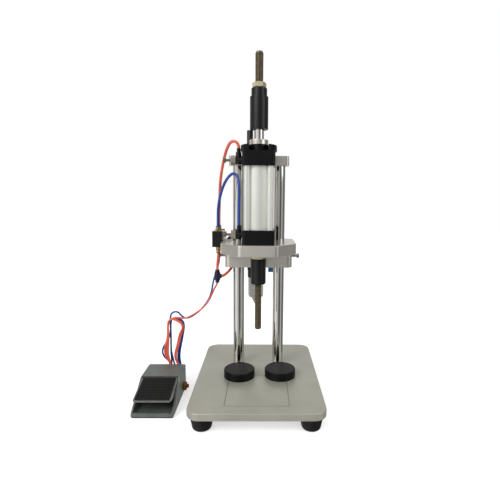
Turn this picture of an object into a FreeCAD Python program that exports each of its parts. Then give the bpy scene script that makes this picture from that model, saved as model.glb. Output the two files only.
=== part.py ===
import FreeCAD, Part
import math
import os

# A bench-top pneumatic capping press with a foot pedal, in millimetres.
# Origin: the ram's axis at the top face of the base plate. +X right, +Y away from the user, +Z up.

V = FreeCAD.Vector

# Fits shared by the whole machine
RUNNING_FIT = 0.05        # radial play of a shaft in its own bearing
CLEARANCE = 0.3           # play between moving pieces that are no fit
SEAT_FIT = 0.02           # radial play of a piece seated in a hole of its own body

# Base plate and feet
BASE_WIDTH = 258.8
BASE_DEPTH = 337.0
BASE_FRONT = -149.0
BASE_THICK = 15.0
BASE_CORNER = 25.0
BASE_EDGE = 2.5
FRAME_LINE_WIDTH = 122.0
FRAME_LINE_DEPTH = 128.0
FRAME_LINE_BACK = 6.0
FRAME_LINE_GROOVE = 0.8
FOOT_HEIGHT = 28.0
FOOT_TOP_RADIUS = 23.0
FOOT_BOTTOM_RADIUS = 17.5
FOOT_ROUND = 6.0
FOOT_SIDE_INSET = 27.5
FOOT_END_INSET = 28.0
FOOT_SCREW_RADIUS = 3.0
FOOT_SCREW_HEAD = 5.5

# Columns and crossbar
COLUMN_RADIUS = 12.5
COLUMN_THREAD_DEPTH = 24.0
COLUMN_PITCH = 90.0
COLUMN_BACK = 69.5
COLUMN_SCREW_RADIUS = 5.0
COLUMN_SCREW_HEAD = 8.0
CROSSBAR_TOP = 472.5
CROSSBAR_HEIGHT = 21.0
CROSSBAR_DEPTH = 32.0
CROSSBAR_END_WALL = 7.5
CROSSBAR_CORNER = 6.0
CROSSBAR_SCREW_RADIUS = 4.0

# Bottle locator discs
LOCATOR_RADIUS = 33.2
LOCATOR_THICK = 17.0
LOCATOR_EDGE = 2.5
LOCATOR_LIFT = 0.1
LOCATOR_OFFSET = 24.0
LOCATOR_PIVOT_X = 37.5
LOCATOR_PIVOT_Y = 27.5
LOCATOR_LEFT_SWING = 5.1
LOCATOR_RIGHT_SWING = 26.9
LOCATOR_SCREW_RADIUS = 4.0
LOCATOR_SCREW_HEAD = 5.5
LOCATOR_HEAD_HEIGHT = 5.0

# Clamp bar and upper plate
BAR_BOTTOM = 230.5
BAR_HEIGHT = 36.5
BAR_WIDTH = 148.0
BAR_DEPTH = 49.0
BAR_CORNER = 11.0
PLATE_THICK = 22.5
PLATE_WIDTH = 157.0
PLATE_FRONT = -46.0
PLATE_NOSE_WIDTH = 76.0
PLATE_SHOULDER = 0.0
PLATE_BACK_MARGIN = 34.5
PLATE_CORNER = 12.0
PLATE_EDGE = 1.0
PLATE_SCREW_RADIUS = 3.0
PLATE_SCREW_HEAD = 5.0
PLATE_SCREW_SPACING_X = 40.0
PLATE_SCREW_SPACING_Y = 27.0
LOCK_SCREW_RADIUS = 3.0
LOCK_HEAD_RADIUS = 5.0
LOCK_HEAD_LENGTH = 5.5
LOCK_SCREW_STANDOFF = 11.5

# Air cylinder
CAP_SIZE = 65.0
CAP_HEIGHT = 29.0
CAP_CORNER = 6.0
CAP_SPIGOT = 5.0
BARREL_LENGTH = 126.5
BORE_RADIUS = 25.0
BARREL_WALL = 3.0
EAR_OFFSET = 23.25
EAR_RADIUS = 6.4
TIE_ROD_RADIUS = 3.0
TIE_NUT_RADIUS = 5.6
TIE_NUT_LENGTH = 13.0
ROD_RADIUS = 10.0
BUSH_WALL = 3.0
BUSH_LENGTH = 18.0
ROD_SEAL_WIDTH = 4.0
ROD_SEAL_LENGTH = 4.0
O_RING_WIDTH = 2.6
NECK_RADIUS = 19.0
PILOT_LENGTH = 18.0
PISTON_LENGTH = 18.0
PISTON_TOP_GAP = 2.0

# Pieces on top of the upper cap
NECK_HEIGHT = 13.5
DISC_RADIUS = 36.4
DISC_THICK = 12.5
DISC_EDGE = 2.0
RING_HEIGHT = 9.5
RING_RADIUS = 18.8
POST_RADIUS = 6.3
POST_HEIGHT = 32.0
POST_GAP = 0.9

# Ram, stroke stop and tool stud
STROKE = 20.0
SLEEVE_RADIUS = 18.2
SLEEVE_LENGTH = 62.0
SLEEVE_RECESS_RADIUS = 12.0
SLEEVE_RECESS_DEPTH = 24.0
SLEEVE_COLLAR_RADIUS = 15.6
SLEEVE_COLLAR_LENGTH = 17.5
THREAD_RADIUS = 8.0
THREAD_ABOVE_NUT = 58.0
NUT_FLATS = 24.0
STOP_NUT_HEIGHT = 9.5
LOWER_NUT_HEIGHT = 9.5
LOWER_NUT_DROP = 0.4
COUPLING_RADIUS = 15.75
COUPLING_LENGTH = 52.6
COUPLING_THREAD_DEPTH = 22.0
STUD_RADIUS = 7.0
STUD_OUT = 97.5
STUD_IN = 26.0

# Speed controllers on the caps' left faces
CONTROL_BODY_RADIUS = 5.7
CONTROL_STANDOFF = 8.0
CONTROL_COLLAR_RADIUS = 3.9
CONTROL_COLLAR_LENGTH = 7.0
CONTROL_STEM_RADIUS = 6.5
CONTROL_STEM_DEPTH = 9.0
CONTROL_NUT_FLATS = 16.0
CONTROL_NUT_LENGTH = 10.0
NEEDLE_RADIUS = 2.6
NEEDLE_KNOB_RADIUS = 5.0
NEEDLE_KNOB_LENGTH = 5.5
NEEDLE_OUT = 10.0
UPPER_PORT_DROP = 17.0
UPPER_TUBE_TOP = 6.0
UPPER_TUBE_BOTTOM = 25.0
LOWER_PORT_RISE = 18.0
LOWER_TUBE_TOP = 36.0
LOWER_TUBE_BOTTOM = 8.5

# Valve at the left of the upper plate
VALVE_FRONT = 30.0
VALVE_CAP_LENGTH = 14.0
VALVE_BODY_LENGTH = 48.0
VALVE_WIDTH = 20.4
VALVE_HEIGHT = 34.0
VALVE_BOTTOM_DROP = 12.5
VALVE_SIDE_GAP = 0.5
SPOOL_RADIUS = 5.0
SPOOL_TRAVEL = 4.0
FITTING_RADIUS = 5.2
FITTING_HEIGHT = 10.0
FEED_PORT = 11.0
RETURN_PORT = 33.0
SUPPLY_PORT = 27.0
PILOT_PORT = 50.0
SUPPLY_FITTING_HEIGHT = 14.0

# Hoses and tee
HOSE_RADIUS = 3.0
PILOT_HOSE_RADIUS = 2.0
TEE_RADIUS = 6.5
TEE_SHIFT = 2.5
TEE_HALF_HEIGHT = 13.0
TEE_COLLAR = 4.0
TEE_BRANCH_RADIUS = 5.0
TEE_BRANCH_LENGTH = 9.5
TEE_BRANCH_HEIGHT = 209.0
PILOT_FITTING_RADIUS = 4.2

# Filter regulator behind the clamp bar
FILTER_X = -7.0
FILTER_BACK = 31.5
FILTER_BODY_SIZE = 40.0
FILTER_BODY_BOTTOM = 214.0
FILTER_BODY_TOP = 244.0
FILTER_RING_BOTTOM = 193.5
FILTER_RING_RADIUS = 19.9
BOWL_RADIUS = 18.5
BOWL_BOTTOM = 143.5
BOWL_WALL = 2.5
DRAIN_RADIUS = 9.3
DRAIN_TIP_RADIUS = 2.2
DRAIN_THREAD_RADIUS = 3.0
DRAIN_LENGTH = 17.0
BRACKET_THICK = 3.0
BONNET_RADIUS = 12.5
KNOB_RADIUS = 17.0
KNOB_HEIGHT = 30.0
OUTLET_LENGTH = 14.0
INLET_HEIGHT = 226.0
INLET_ELBOW_X = 29.5
INLET_BOTTOM = 206.7
INLET_RADIUS = 7.0
INLET_BORE_RADIUS = 4.0
INLET_BORE_DEPTH = 14.0

# Foot pedal
PEDAL_X = -203.5
PEDAL_HALF_WIDTH = 41.0
PEDAL_FRONT = -91.0
PEDAL_REAR = 41.0
PEDAL_SOLE = 2.0
PEDAL_FLOOR = 4.0
PEDAL_WALL = 3.2
PEDAL_TOP = 10.0
PEDAL_COVER_FRONT = -20.0
PEDAL_COVER_THICK = 4.0
PEDAL_BLOCK_FRONT = -1.0
PEDAL_LIP = 4.0
PEDAL_PIVOT_Y = -11.0
PEDAL_PIVOT_Z = -4.0
PEDAL_PIN_RADIUS = 3.0
PEDAL_SLOPE = 13.0
PEDAL_PLATE_THICK = 3.0
PEDAL_PLATE_REACH = 78.0
PEDAL_PLATE_RISE = 13.8
PEDAL_FLANGE = 8.0
PAD_THICK = 3.0
PAD_WIDTH = 67.0
PAD_LENGTH = 62.0
PAD_RIBS = 14
SPRING_RADIUS = 7.0
SPRING_WIRE = 0.9
SPRING_TURNS = 5
SPRING_Y = -42.0
PEDAL_SPOOL_RADIUS = 4.0
PEDAL_SPOOL_DROP = 20.0
PEDAL_SPOOL_TRAVEL = 5.0
SILENCER_Y = 16.0
SILENCER_Z = -30.0
PEDAL_PORT_Z = -16.0
PEDAL_PORT_SHIFT = 11.5
PEDAL_PORT_PITCH = 10.0

# Spare hose, tied in a hank that stands behind the pedal
HANK_BEHIND_PEDAL = 19.0
HANK_DEPTH = 20.0
HANK_ROUND = 4.0

# Derived levels and places
FLOOR = -BASE_THICK - FOOT_HEIGHT
BASE_BACK = BASE_FRONT + BASE_DEPTH
COLUMN_X = COLUMN_PITCH / 2
PLATE_BOTTOM = BAR_BOTTOM + BAR_HEIGHT
PLATE_TOP = PLATE_BOTTOM + PLATE_THICK
LOWER_CAP_TOP = PLATE_TOP + CAP_HEIGHT
UPPER_CAP_BOTTOM = LOWER_CAP_TOP + BARREL_LENGTH
UPPER_CAP_TOP = UPPER_CAP_BOTTOM + CAP_HEIGHT
NECK_TOP = UPPER_CAP_TOP + NECK_HEIGHT
RING_TOP = NECK_TOP + RING_HEIGHT
SLEEVE_BOTTOM = RING_TOP + STROKE
SLEEVE_STEP = SLEEVE_BOTTOM + SLEEVE_LENGTH
SLEEVE_TOP = SLEEVE_STEP + SLEEVE_COLLAR_LENGTH
STOP_NUT_TOP = SLEEVE_TOP + STOP_NUT_HEIGHT
THREAD_TOP = STOP_NUT_TOP + THREAD_ABOVE_NUT
LOWER_NUT_TOP = PLATE_BOTTOM - LOWER_NUT_DROP
COUPLING_TOP = LOWER_NUT_TOP - LOWER_NUT_HEIGHT
COUPLING_BOTTOM = COUPLING_TOP - COUPLING_LENGTH
STUD_BOTTOM = COUPLING_BOTTOM - STUD_OUT
LOCK_SCREW_Z = BAR_BOTTOM + 0.65 * BAR_HEIGHT
BAR_FRONT = COLUMN_BACK - BAR_DEPTH / 2
BAR_BACK = COLUMN_BACK + BAR_DEPTH / 2
FILTER_Y = BAR_BACK + FILTER_BACK
VALVE_RIGHT = -PLATE_WIDTH / 2 - VALVE_SIDE_GAP
VALVE_LEFT = VALVE_RIGHT - VALVE_WIDTH
VALVE_X = (VALVE_LEFT + VALVE_RIGHT) / 2
VALVE_BOTTOM = PLATE_TOP - VALVE_BOTTOM_DROP
VALVE_TOP = VALVE_BOTTOM + VALVE_HEIGHT
VALVE_BODY_FRONT = VALVE_FRONT + VALVE_CAP_LENGTH
VALVE_BODY_BACK = VALVE_BODY_FRONT + VALVE_BODY_LENGTH
SUPPLY_Y = VALVE_FRONT + SUPPLY_PORT
PILOT_Y = VALVE_FRONT + PILOT_PORT
TEE_X = VALVE_X - TEE_SHIFT
TEE_TOP = TEE_BRANCH_HEIGHT + TEE_HALF_HEIGHT
TEE_BOTTOM = TEE_BRANCH_HEIGHT - TEE_HALF_HEIGHT
FITTING_BOTTOM = VALVE_BOTTOM - SUPPLY_FITTING_HEIGHT
HANK_Y = PEDAL_REAR + HANK_BEHIND_PEDAL


def cylinder(radius, start, end):
    """A round bar between two points."""
    a = V(*start)
    along = V(*end) - a
    return Part.makeCylinder(radius, along.Length, a, along)


def taper(start_radius, end_radius, start, end):
    """A cone between two points."""
    a = V(*start)
    along = V(*end) - a
    return Part.makeCone(start_radius, end_radius, along.Length, a, along)


def upright(radius, low, high, x=0.0, y=0.0):
    """A round bar along Z."""
    return cylinder(radius, (x, y, low), (x, y, high))


def block(x, y, z):
    """A box from three (low, high) pairs."""
    size = [pair[1] - pair[0] for pair in (x, y, z)]
    return Part.makeBox(*size, V(x[0], y[0], z[0]))


def hexagon(flats, start, end):
    """A hexagonal prism between two points on one axis."""
    a = V(*start)
    along = V(*end) - a
    corner = flats / math.sqrt(3)
    turn = FreeCAD.Rotation(V(0, 0, 1), along)
    points = []
    for step in range(7):
        angle = math.radians(60 * step)
        points.append(a + turn.multVec(V(corner * math.cos(angle), corner * math.sin(angle), 0)))
    return Part.Face(Part.makePolygon(points)).extrude(along)


def prism(points, along):
    """A closed outline of points, pushed along a vector."""
    corners = [V(*point) for point in points]
    return Part.Face(Part.makePolygon(corners + corners[:1])).extrude(V(*along))


def edges_along(shape, direction, test=None):
    """The straight edges of a shape that run along a direction."""
    found = []
    for edge in shape.Edges:
        if edge.Curve.TypeId != "Part::GeomLine" or len(edge.Vertexes) < 2:
            continue
        run = edge.Vertexes[1].Point - edge.Vertexes[0].Point
        if run.cross(V(*direction)).Length < 1e-6 * run.Length and (test is None or test(edge.CenterOfMass)):
            found.append(edge)
    return found


def rounded_block(x, y, z, corner):
    """A box whose upright edges are rounded."""
    shape = block(x, y, z)
    return shape.makeFillet(corner, edges_along(shape, (0, 0, 1)))


def round_top(shape, radius, level):
    """Round every edge that lies at one level."""
    chosen = []
    for edge in shape.Edges:
        box = edge.BoundBox
        if abs(box.ZMin - level) < 1e-6 and abs(box.ZMax - level) < 1e-6:
            chosen.append(edge)
    return shape.makeFillet(radius, chosen)


def bored(shape, *tools):
    """A shape less its holes."""
    for tool in tools:
        shape = shape.cut(tool)
    return shape


def joined(*shapes):
    """Several shapes as one solid."""
    body = shapes[0]
    for shape in shapes[1:]:
        body = body.fuse(shape)
    return body.removeSplitter()


def save(name, *solids):
    """Write one node; several solids stay separate in it."""
    shape = solids[0] if len(solids) == 1 else Part.makeCompound(list(solids))
    shape.exportStep("parts/" + name + ".step")


def hose_path(points):
    """Straight runs joined by tangent arcs; prints each arc's radius in hose diameters."""
    corners = [V(*point) for point in points]
    edges = []
    radii = []
    here = corners[0]
    for before, corner, after in zip(corners, corners[1:], corners[2:]):
        incoming = corner - before
        outgoing = after - corner
        turn = incoming.getAngle(outgoing)
        radius = 0.45 * min(incoming.Length, outgoing.Length) / math.tan(turn / 2)
        back = radius * math.tan(turn / 2)
        into = V(incoming).normalize()
        out = V(outgoing).normalize()
        start = corner - into * back
        end = corner + out * back
        inward = (out - into).normalize()
        middle = corner + inward * (radius / math.cos(turn / 2) - radius)
        edges.append(Part.LineSegment(here, start).toShape())
        edges.append(Part.Arc(start, middle, end).toShape())
        radii.append(radius)
        here = end
    edges.append(Part.LineSegment(here, corners[-1]).toShape())
    return Part.Wire(edges), radii


def hose(name, radius, points):
    """A hose along its route."""
    path, radii = hose_path(points)
    start = V(*points[0])
    along = V(*points[1]) - start
    ring = Part.Wire(Part.Circle(start, along, radius).toShape())
    solid = path.makePipeShell([ring], True, False)
    full = math.pi * radius ** 2 * path.Length
    tight = min(radii) / (2 * radius)
    print(f"{name}: length {path.Length:.1f}, volume share {solid.Volume / full:.4f}, "
          f"tightest bend {tight:.1f} diameters, radii {[round(value) for value in radii]}")
    return solid


def fitted(points, start, end):
    """A route drawn for the nominal sizes, moved so that it runs from start to end."""
    first = V(*start) - V(*points[0])
    last = V(*end) - V(*points[-1])
    steps = len(points) - 3
    moved = []
    for index, point in enumerate(points):
        share = min(max(index - 1, 0), steps) / steps
        moved.append(tuple(V(*point) + first * (1 - share) + last * share))
    return moved


def base_plate():
    """Thick plate with rounded corners, an engraved frame line and screw holes from below."""
    half = BASE_WIDTH / 2
    plate = rounded_block((-half, half), (BASE_FRONT, BASE_BACK), (-BASE_THICK, 0), BASE_CORNER)
    plate = round_top(plate, BASE_EDGE, 0)
    plate = round_top(plate, BASE_EDGE, -BASE_THICK)
    side = FRAME_LINE_WIDTH / 2
    front = FRAME_LINE_BACK - FRAME_LINE_DEPTH
    outer = block((-side, side), (front, FRAME_LINE_BACK), (-FRAME_LINE_GROOVE, 1))
    groove = FRAME_LINE_GROOVE
    inner = block((groove - side, side - groove), (front + groove, FRAME_LINE_BACK - groove), (-1, 1))
    plate = bored(plate, outer.cut(inner))
    for x in (-COLUMN_X, COLUMN_X):
        plate = bored(plate,
                      upright(COLUMN_SCREW_RADIUS + SEAT_FIT, -BASE_THICK, 0, x, COLUMN_BACK),
                      upright(COLUMN_SCREW_HEAD + SEAT_FIT, -BASE_THICK, -BASE_THICK * 0.4, x, COLUMN_BACK))
    for x in (-LOCATOR_PIVOT_X, LOCATOR_PIVOT_X):
        plate = bored(plate, upright(LOCATOR_SCREW_RADIUS + SEAT_FIT, -BASE_THICK * 0.8, 0, x, LOCATOR_PIVOT_Y))
    for x, y in foot_places():
        plate = bored(plate, upright(FOOT_SCREW_RADIUS + SEAT_FIT, -BASE_THICK, -BASE_THICK * 0.2, x, y))
    return plate


def foot_places():
    """The four corners where the feet are screwed on."""
    x = BASE_WIDTH / 2 - FOOT_SIDE_INSET
    return [(side * x, y) for y in (BASE_FRONT + FOOT_END_INSET, BASE_BACK - FOOT_END_INSET) for side in (-1, 1)]


def rubber_foot(x, y):
    """A tapered rubber foot with a deep screw hole from below."""
    foot = Part.makeCone(FOOT_BOTTOM_RADIUS, FOOT_TOP_RADIUS, FOOT_HEIGHT, V(x, y, FLOOR))
    foot = round_top(foot, FOOT_ROUND, FLOOR)
    recess_top = FLOOR + FOOT_HEIGHT * 0.6
    return bored(foot,
                 upright(FOOT_SCREW_HEAD + CLEARANCE, FLOOR, recess_top, x, y),
                 upright(FOOT_SCREW_RADIUS + SEAT_FIT, FLOOR, -BASE_THICK, x, y))


def frame_screws():
    """Foot screws, column screws, the crossbar's grub screws and the locators' shoulder screws."""
    screws = [locator_screw(-1), locator_screw(1)]
    seat = FLOOR + FOOT_HEIGHT * 0.6
    for x, y in foot_places():
        head = upright(FOOT_SCREW_HEAD, seat - 4, seat, x, y)
        screws.append(joined(head, upright(FOOT_SCREW_RADIUS, seat, -BASE_THICK * 0.25, x, y)))
    for side in (-1, 1):
        x = side * COLUMN_X
        head_top = -BASE_THICK * 0.4
        head = upright(COLUMN_SCREW_HEAD, head_top - 8, head_top, x, COLUMN_BACK)
        head = bored(head, hexagon(8, (x, COLUMN_BACK, head_top - 8), (x, COLUMN_BACK, head_top - 4)))
        screws.append(joined(head, upright(COLUMN_SCREW_RADIUS, head_top, COLUMN_THREAD_DEPTH - 2, x, COLUMN_BACK)))
    middle = CROSSBAR_TOP - CROSSBAR_HEIGHT / 2
    for side in (-1, 1):
        inner = side * (COLUMN_X + COLUMN_RADIUS + SEAT_FIT)
        outer = side * (COLUMN_X + COLUMN_RADIUS + CROSSBAR_END_WALL - 1)
        grub = cylinder(CROSSBAR_SCREW_RADIUS, (inner, COLUMN_BACK, middle), (outer, COLUMN_BACK, middle))
        socket = hexagon(4, (outer - side * 3, COLUMN_BACK, middle), (outer, COLUMN_BACK, middle))
        screws.append(bored(grub, socket))
    return screws


def column(side):
    """A hard-chromed guide column, chamfered at the top and tapped at the foot."""
    x = side * COLUMN_X
    bar = upright(COLUMN_RADIUS, 0, CROSSBAR_TOP - 1, x, COLUMN_BACK)
    crown = taper(COLUMN_RADIUS, COLUMN_RADIUS - 1, (x, COLUMN_BACK, CROSSBAR_TOP - 1), (x, COLUMN_BACK, CROSSBAR_TOP))
    return bored(joined(bar, crown), upright(COLUMN_SCREW_RADIUS + SEAT_FIT, 0, COLUMN_THREAD_DEPTH, x, COLUMN_BACK))


def crossbar():
    """The bar that ties the columns' tops together."""
    half = COLUMN_X + COLUMN_RADIUS + CROSSBAR_END_WALL
    depth = CROSSBAR_DEPTH / 2
    bottom = CROSSBAR_TOP - CROSSBAR_HEIGHT
    bar = rounded_block((-half, half), (COLUMN_BACK - depth, COLUMN_BACK + depth), (bottom, CROSSBAR_TOP),
                        CROSSBAR_CORNER)
    bar = round_top(bar, 1.0, CROSSBAR_TOP)
    middle = CROSSBAR_TOP - CROSSBAR_HEIGHT / 2
    for side in (-1, 1):
        bar = bored(bar,
                    upright(COLUMN_RADIUS + SEAT_FIT, bottom, CROSSBAR_TOP, side * COLUMN_X, COLUMN_BACK),
                    cylinder(CROSSBAR_SCREW_RADIUS + SEAT_FIT, (side * COLUMN_X, COLUMN_BACK, middle),
                             (side * half, COLUMN_BACK, middle)))
    return bar


def locator(side, swing):
    """A rubber-faced disc that swings on an off-centre shoulder screw."""
    pivot = (side * LOCATOR_PIVOT_X, LOCATOR_PIVOT_Y)
    angle = math.radians(swing)
    x = pivot[0] + side * LOCATOR_OFFSET * math.sin(angle)
    y = pivot[1] - LOCATOR_OFFSET * math.cos(angle)
    low = LOCATOR_LIFT
    high = LOCATOR_THICK
    disc = upright(LOCATOR_RADIUS, low, high, x, y)
    disc = round_top(disc, LOCATOR_EDGE, high)
    disc = round_top(disc, LOCATOR_EDGE / 2, low)
    recess = high - LOCATOR_HEAD_HEIGHT - 1
    return bored(disc,
                 upright(LOCATOR_SCREW_RADIUS + RUNNING_FIT, low, high, *pivot),
                 upright(LOCATOR_SCREW_HEAD + CLEARANCE, recess, high, *pivot))


def locator_screw(side):
    """The shoulder screw that a locator disc turns on."""
    x = side * LOCATOR_PIVOT_X
    y = LOCATOR_PIVOT_Y
    seat = LOCATOR_THICK - LOCATOR_HEAD_HEIGHT - 1 + RUNNING_FIT
    top = seat + LOCATOR_HEAD_HEIGHT
    head = upright(LOCATOR_SCREW_HEAD, seat, top, x, y)
    head = bored(head, hexagon(5, (x, y, top - 3), (x, y, top)))
    return joined(head, upright(LOCATOR_SCREW_RADIUS, -BASE_THICK * 0.75, seat, x, y))


def clamp_bar():
    """The bar that grips both columns and carries the head."""
    half = BAR_WIDTH / 2
    bar = rounded_block((-half, half), (BAR_FRONT, BAR_BACK), (BAR_BOTTOM, PLATE_BOTTOM), BAR_CORNER)
    bar = round_top(bar, PLATE_EDGE, BAR_BOTTOM)
    for side in (-1, 1):
        bar = bored(bar,
                    upright(COLUMN_RADIUS + RUNNING_FIT, BAR_BOTTOM, PLATE_BOTTOM, side * COLUMN_X, COLUMN_BACK),
                    cylinder(LOCK_SCREW_RADIUS + RUNNING_FIT, (side * COLUMN_X, COLUMN_BACK, LOCK_SCREW_Z),
                             (side * half, COLUMN_BACK, LOCK_SCREW_Z)))
    for x, y in plate_screw_places():
        bar = bored(bar, upright(PLATE_SCREW_RADIUS + SEAT_FIT, PLATE_BOTTOM - 20, PLATE_BOTTOM, x, y))
    return bored(bar, *bracket_screw_holes())


def plate_screw_places():
    """Where the upper plate is screwed to the clamp bar."""
    return [(x, COLUMN_BACK + y) for x in (-PLATE_SCREW_SPACING_X / 2, PLATE_SCREW_SPACING_X / 2)
            for y in (-PLATE_SCREW_SPACING_Y / 2, PLATE_SCREW_SPACING_Y / 2)]


def cap_corners():
    """The four corners of the cylinder's caps, where its long screws run."""
    return [(x, y) for x in (-EAR_OFFSET, EAR_OFFSET) for y in (-EAR_OFFSET, EAR_OFFSET)]


def upper_plate():
    """Head plate: a wide rectangle whose front corners run in to a narrower nose."""
    half = PLATE_WIDTH / 2
    nose = PLATE_NOSE_WIDTH / 2
    back = COLUMN_BACK + PLATE_BACK_MARGIN
    outline = [(-nose, PLATE_FRONT, PLATE_BOTTOM), (nose, PLATE_FRONT, PLATE_BOTTOM),
               (half, PLATE_SHOULDER, PLATE_BOTTOM), (half, back, PLATE_BOTTOM),
               (-half, back, PLATE_BOTTOM), (-half, PLATE_SHOULDER, PLATE_BOTTOM)]
    plate = prism(outline, (0, 0, PLATE_THICK))
    plate = plate.makeFillet(PLATE_CORNER, edges_along(plate, (0, 0, 1)))
    plate = round_top(plate, PLATE_EDGE, PLATE_TOP)
    plate = round_top(plate, PLATE_EDGE, PLATE_BOTTOM)
    plate = bored(plate, upright(NECK_RADIUS + SEAT_FIT, PLATE_BOTTOM, PLATE_TOP))
    for side in (-1, 1):
        plate = bored(plate, upright(COLUMN_RADIUS + RUNNING_FIT, PLATE_BOTTOM, PLATE_TOP, side * COLUMN_X,
                                     COLUMN_BACK))
    for x, y in cap_corners():
        plate = bored(plate,
                      upright(PLATE_SCREW_RADIUS + SEAT_FIT, PLATE_BOTTOM, PLATE_TOP, x, y),
                      upright(PLATE_SCREW_HEAD + SEAT_FIT, PLATE_BOTTOM, PLATE_BOTTOM + 7, x, y))
    for x, y in plate_screw_places():
        plate = bored(plate,
                      upright(PLATE_SCREW_RADIUS + SEAT_FIT, PLATE_BOTTOM, PLATE_TOP, x, y),
                      upright(PLATE_SCREW_HEAD + SEAT_FIT, PLATE_TOP - 7, PLATE_TOP, x, y))
    for y in valve_bracket_screws():
        plate = bored(plate, upright(2 + SEAT_FIT, PLATE_TOP - 10, PLATE_TOP, -PLATE_WIDTH / 2 + 13, y))
    return plate


def socket_screw(radius, head_radius, head_length, start, shoulder, end, socket):
    """A socket-head screw from its head's outer face, over its shoulder, to its tip."""
    way = (V(*shoulder) - V(*start)).normalize()
    head = cylinder(head_radius, start, shoulder)
    depth = V(*start) + way * (head_length * 0.5)
    head = bored(head, hexagon(socket, start, (depth.x, depth.y, depth.z)))
    return joined(head, cylinder(radius, shoulder, end))


def head_screws():
    """Screws from the plate up into the cylinder, down into the clamp bar, and those of the brackets."""
    screws = []
    for x, y in cap_corners():
        screws.append(socket_screw(PLATE_SCREW_RADIUS, PLATE_SCREW_HEAD, 6, (x, y, PLATE_BOTTOM + 1),
                                   (x, y, PLATE_BOTTOM + 7), (x, y, PLATE_TOP + 8), 5))
    for x, y in plate_screw_places():
        screws.append(socket_screw(PLATE_SCREW_RADIUS, PLATE_SCREW_HEAD, 6, (x, y, PLATE_TOP - 1),
                                   (x, y, PLATE_TOP - 7), (x, y, PLATE_BOTTOM - 16), 5))
    for y in valve_bracket_screws():
        x = -PLATE_WIDTH / 2 + 13
        top = PLATE_TOP + BRACKET_THICK
        screws.append(socket_screw(2, 3.6, 3.5, (x, y, top + 3.5), (x, y, top), (x, y, PLATE_TOP - 8), 3))
        z = VALVE_TOP - 8
        side = VALVE_RIGHT + VALVE_SIDE_GAP + 2
        screws.append(socket_screw(2, 3.6, 3.5, (side + 3.5, y, z), (side, y, z), (VALVE_RIGHT - 6, y, z), 3))
    for x in (-12, 12):
        z = BAR_BOTTOM + BAR_HEIGHT - 8
        y = BAR_BACK + BRACKET_THICK
        screws.append(socket_screw(2.5, 4.2, 4, (FILTER_X + x, y + 4, z), (FILTER_X + x, y, z),
                                   (FILTER_X + x, BAR_BACK - 8, z), 4))
    return screws


def bracket_screw_holes():
    """Tapped holes in the clamp bar's back for the filter's bracket."""
    z = BAR_BOTTOM + BAR_HEIGHT - 8
    return [cylinder(2.5 + SEAT_FIT, (FILTER_X + x, BAR_BACK - 10, z), (FILTER_X + x, BAR_BACK, z)) for x in (-12, 12)]


def valve_bracket_screws():
    """The two places along Y where the valve's bracket is screwed."""
    return (VALVE_BODY_FRONT + 10, VALVE_BODY_BACK - 10)


def lock_screw(side):
    """The socket screw that locks the clamp bar on its column."""
    tip = side * (COLUMN_X + COLUMN_RADIUS + CLEARANCE)
    seat = side * (BAR_WIDTH / 2 + LOCK_SCREW_STANDOFF)
    end = seat + side * LOCK_HEAD_LENGTH
    return socket_screw(LOCK_SCREW_RADIUS, LOCK_HEAD_RADIUS, LOCK_HEAD_LENGTH, (end, COLUMN_BACK, LOCK_SCREW_Z),
                        (seat, COLUMN_BACK, LOCK_SCREW_Z), (tip, COLUMN_BACK, LOCK_SCREW_Z), 5)


def cap(low, inner, outer_way):
    """An end cap: square block, spigot into the barrel, rod bore with seats for bush and seal."""
    half = CAP_SIZE / 2
    high = low + CAP_HEIGHT
    body = rounded_block((-half, half), (-half, half), (low, high), CAP_CORNER)
    spigot_end = inner - outer_way * CAP_SPIGOT
    spigot = cylinder(BORE_RADIUS - SEAT_FIT, (0, 0, inner), (0, 0, spigot_end))
    ring = inner - outer_way * 1.2
    ring_end = ring - outer_way * O_RING_WIDTH
    groove = cylinder(BORE_RADIUS, (0, 0, ring), (0, 0, ring_end))
    groove = bored(groove, cylinder(BORE_RADIUS - O_RING_WIDTH, (0, 0, ring), (0, 0, ring_end)))
    body = joined(body, spigot).cut(groove)
    outer = inner + outer_way * CAP_HEIGHT
    body = bored(body,
                 cylinder(ROD_RADIUS + 2 * RUNNING_FIT, (0, 0, spigot_end), (0, 0, outer)),
                 cylinder(ROD_RADIUS + BUSH_WALL, (0, 0, outer - outer_way * (BUSH_LENGTH + ROD_SEAL_LENGTH)),
                          (0, 0, outer)),
                 cylinder(ROD_RADIUS + ROD_SEAL_WIDTH, (0, 0, outer - outer_way * ROD_SEAL_LENGTH), (0, 0, outer)))
    for x, y in cap_corners():
        body = bored(body,
                     cylinder(TIE_ROD_RADIUS + SEAT_FIT, (x, y, inner), (x, y, outer)),
                     cylinder(TIE_NUT_RADIUS + SEAT_FIT, (x, y, outer - outer_way * (TIE_NUT_LENGTH + 1)),
                              (x, y, outer)))
    return body


def lower_cap():
    """The lower end cap with the pilot boss that centres it in the head plate."""
    body = cap(PLATE_TOP, LOWER_CAP_TOP, -1)
    boss = upright(NECK_RADIUS, PLATE_TOP - PILOT_LENGTH, PLATE_TOP)
    boss = bored(boss, upright(ROD_RADIUS + ROD_SEAL_WIDTH, PLATE_TOP - PILOT_LENGTH, PLATE_TOP))
    port = cylinder(CONTROL_STEM_RADIUS, (-CAP_SIZE / 2, 0, PLATE_TOP + LOWER_PORT_RISE),
                    (-CAP_SIZE / 2 + CONTROL_STEM_DEPTH, 0, PLATE_TOP + LOWER_PORT_RISE))
    return bored(joined(body, boss), port)


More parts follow.
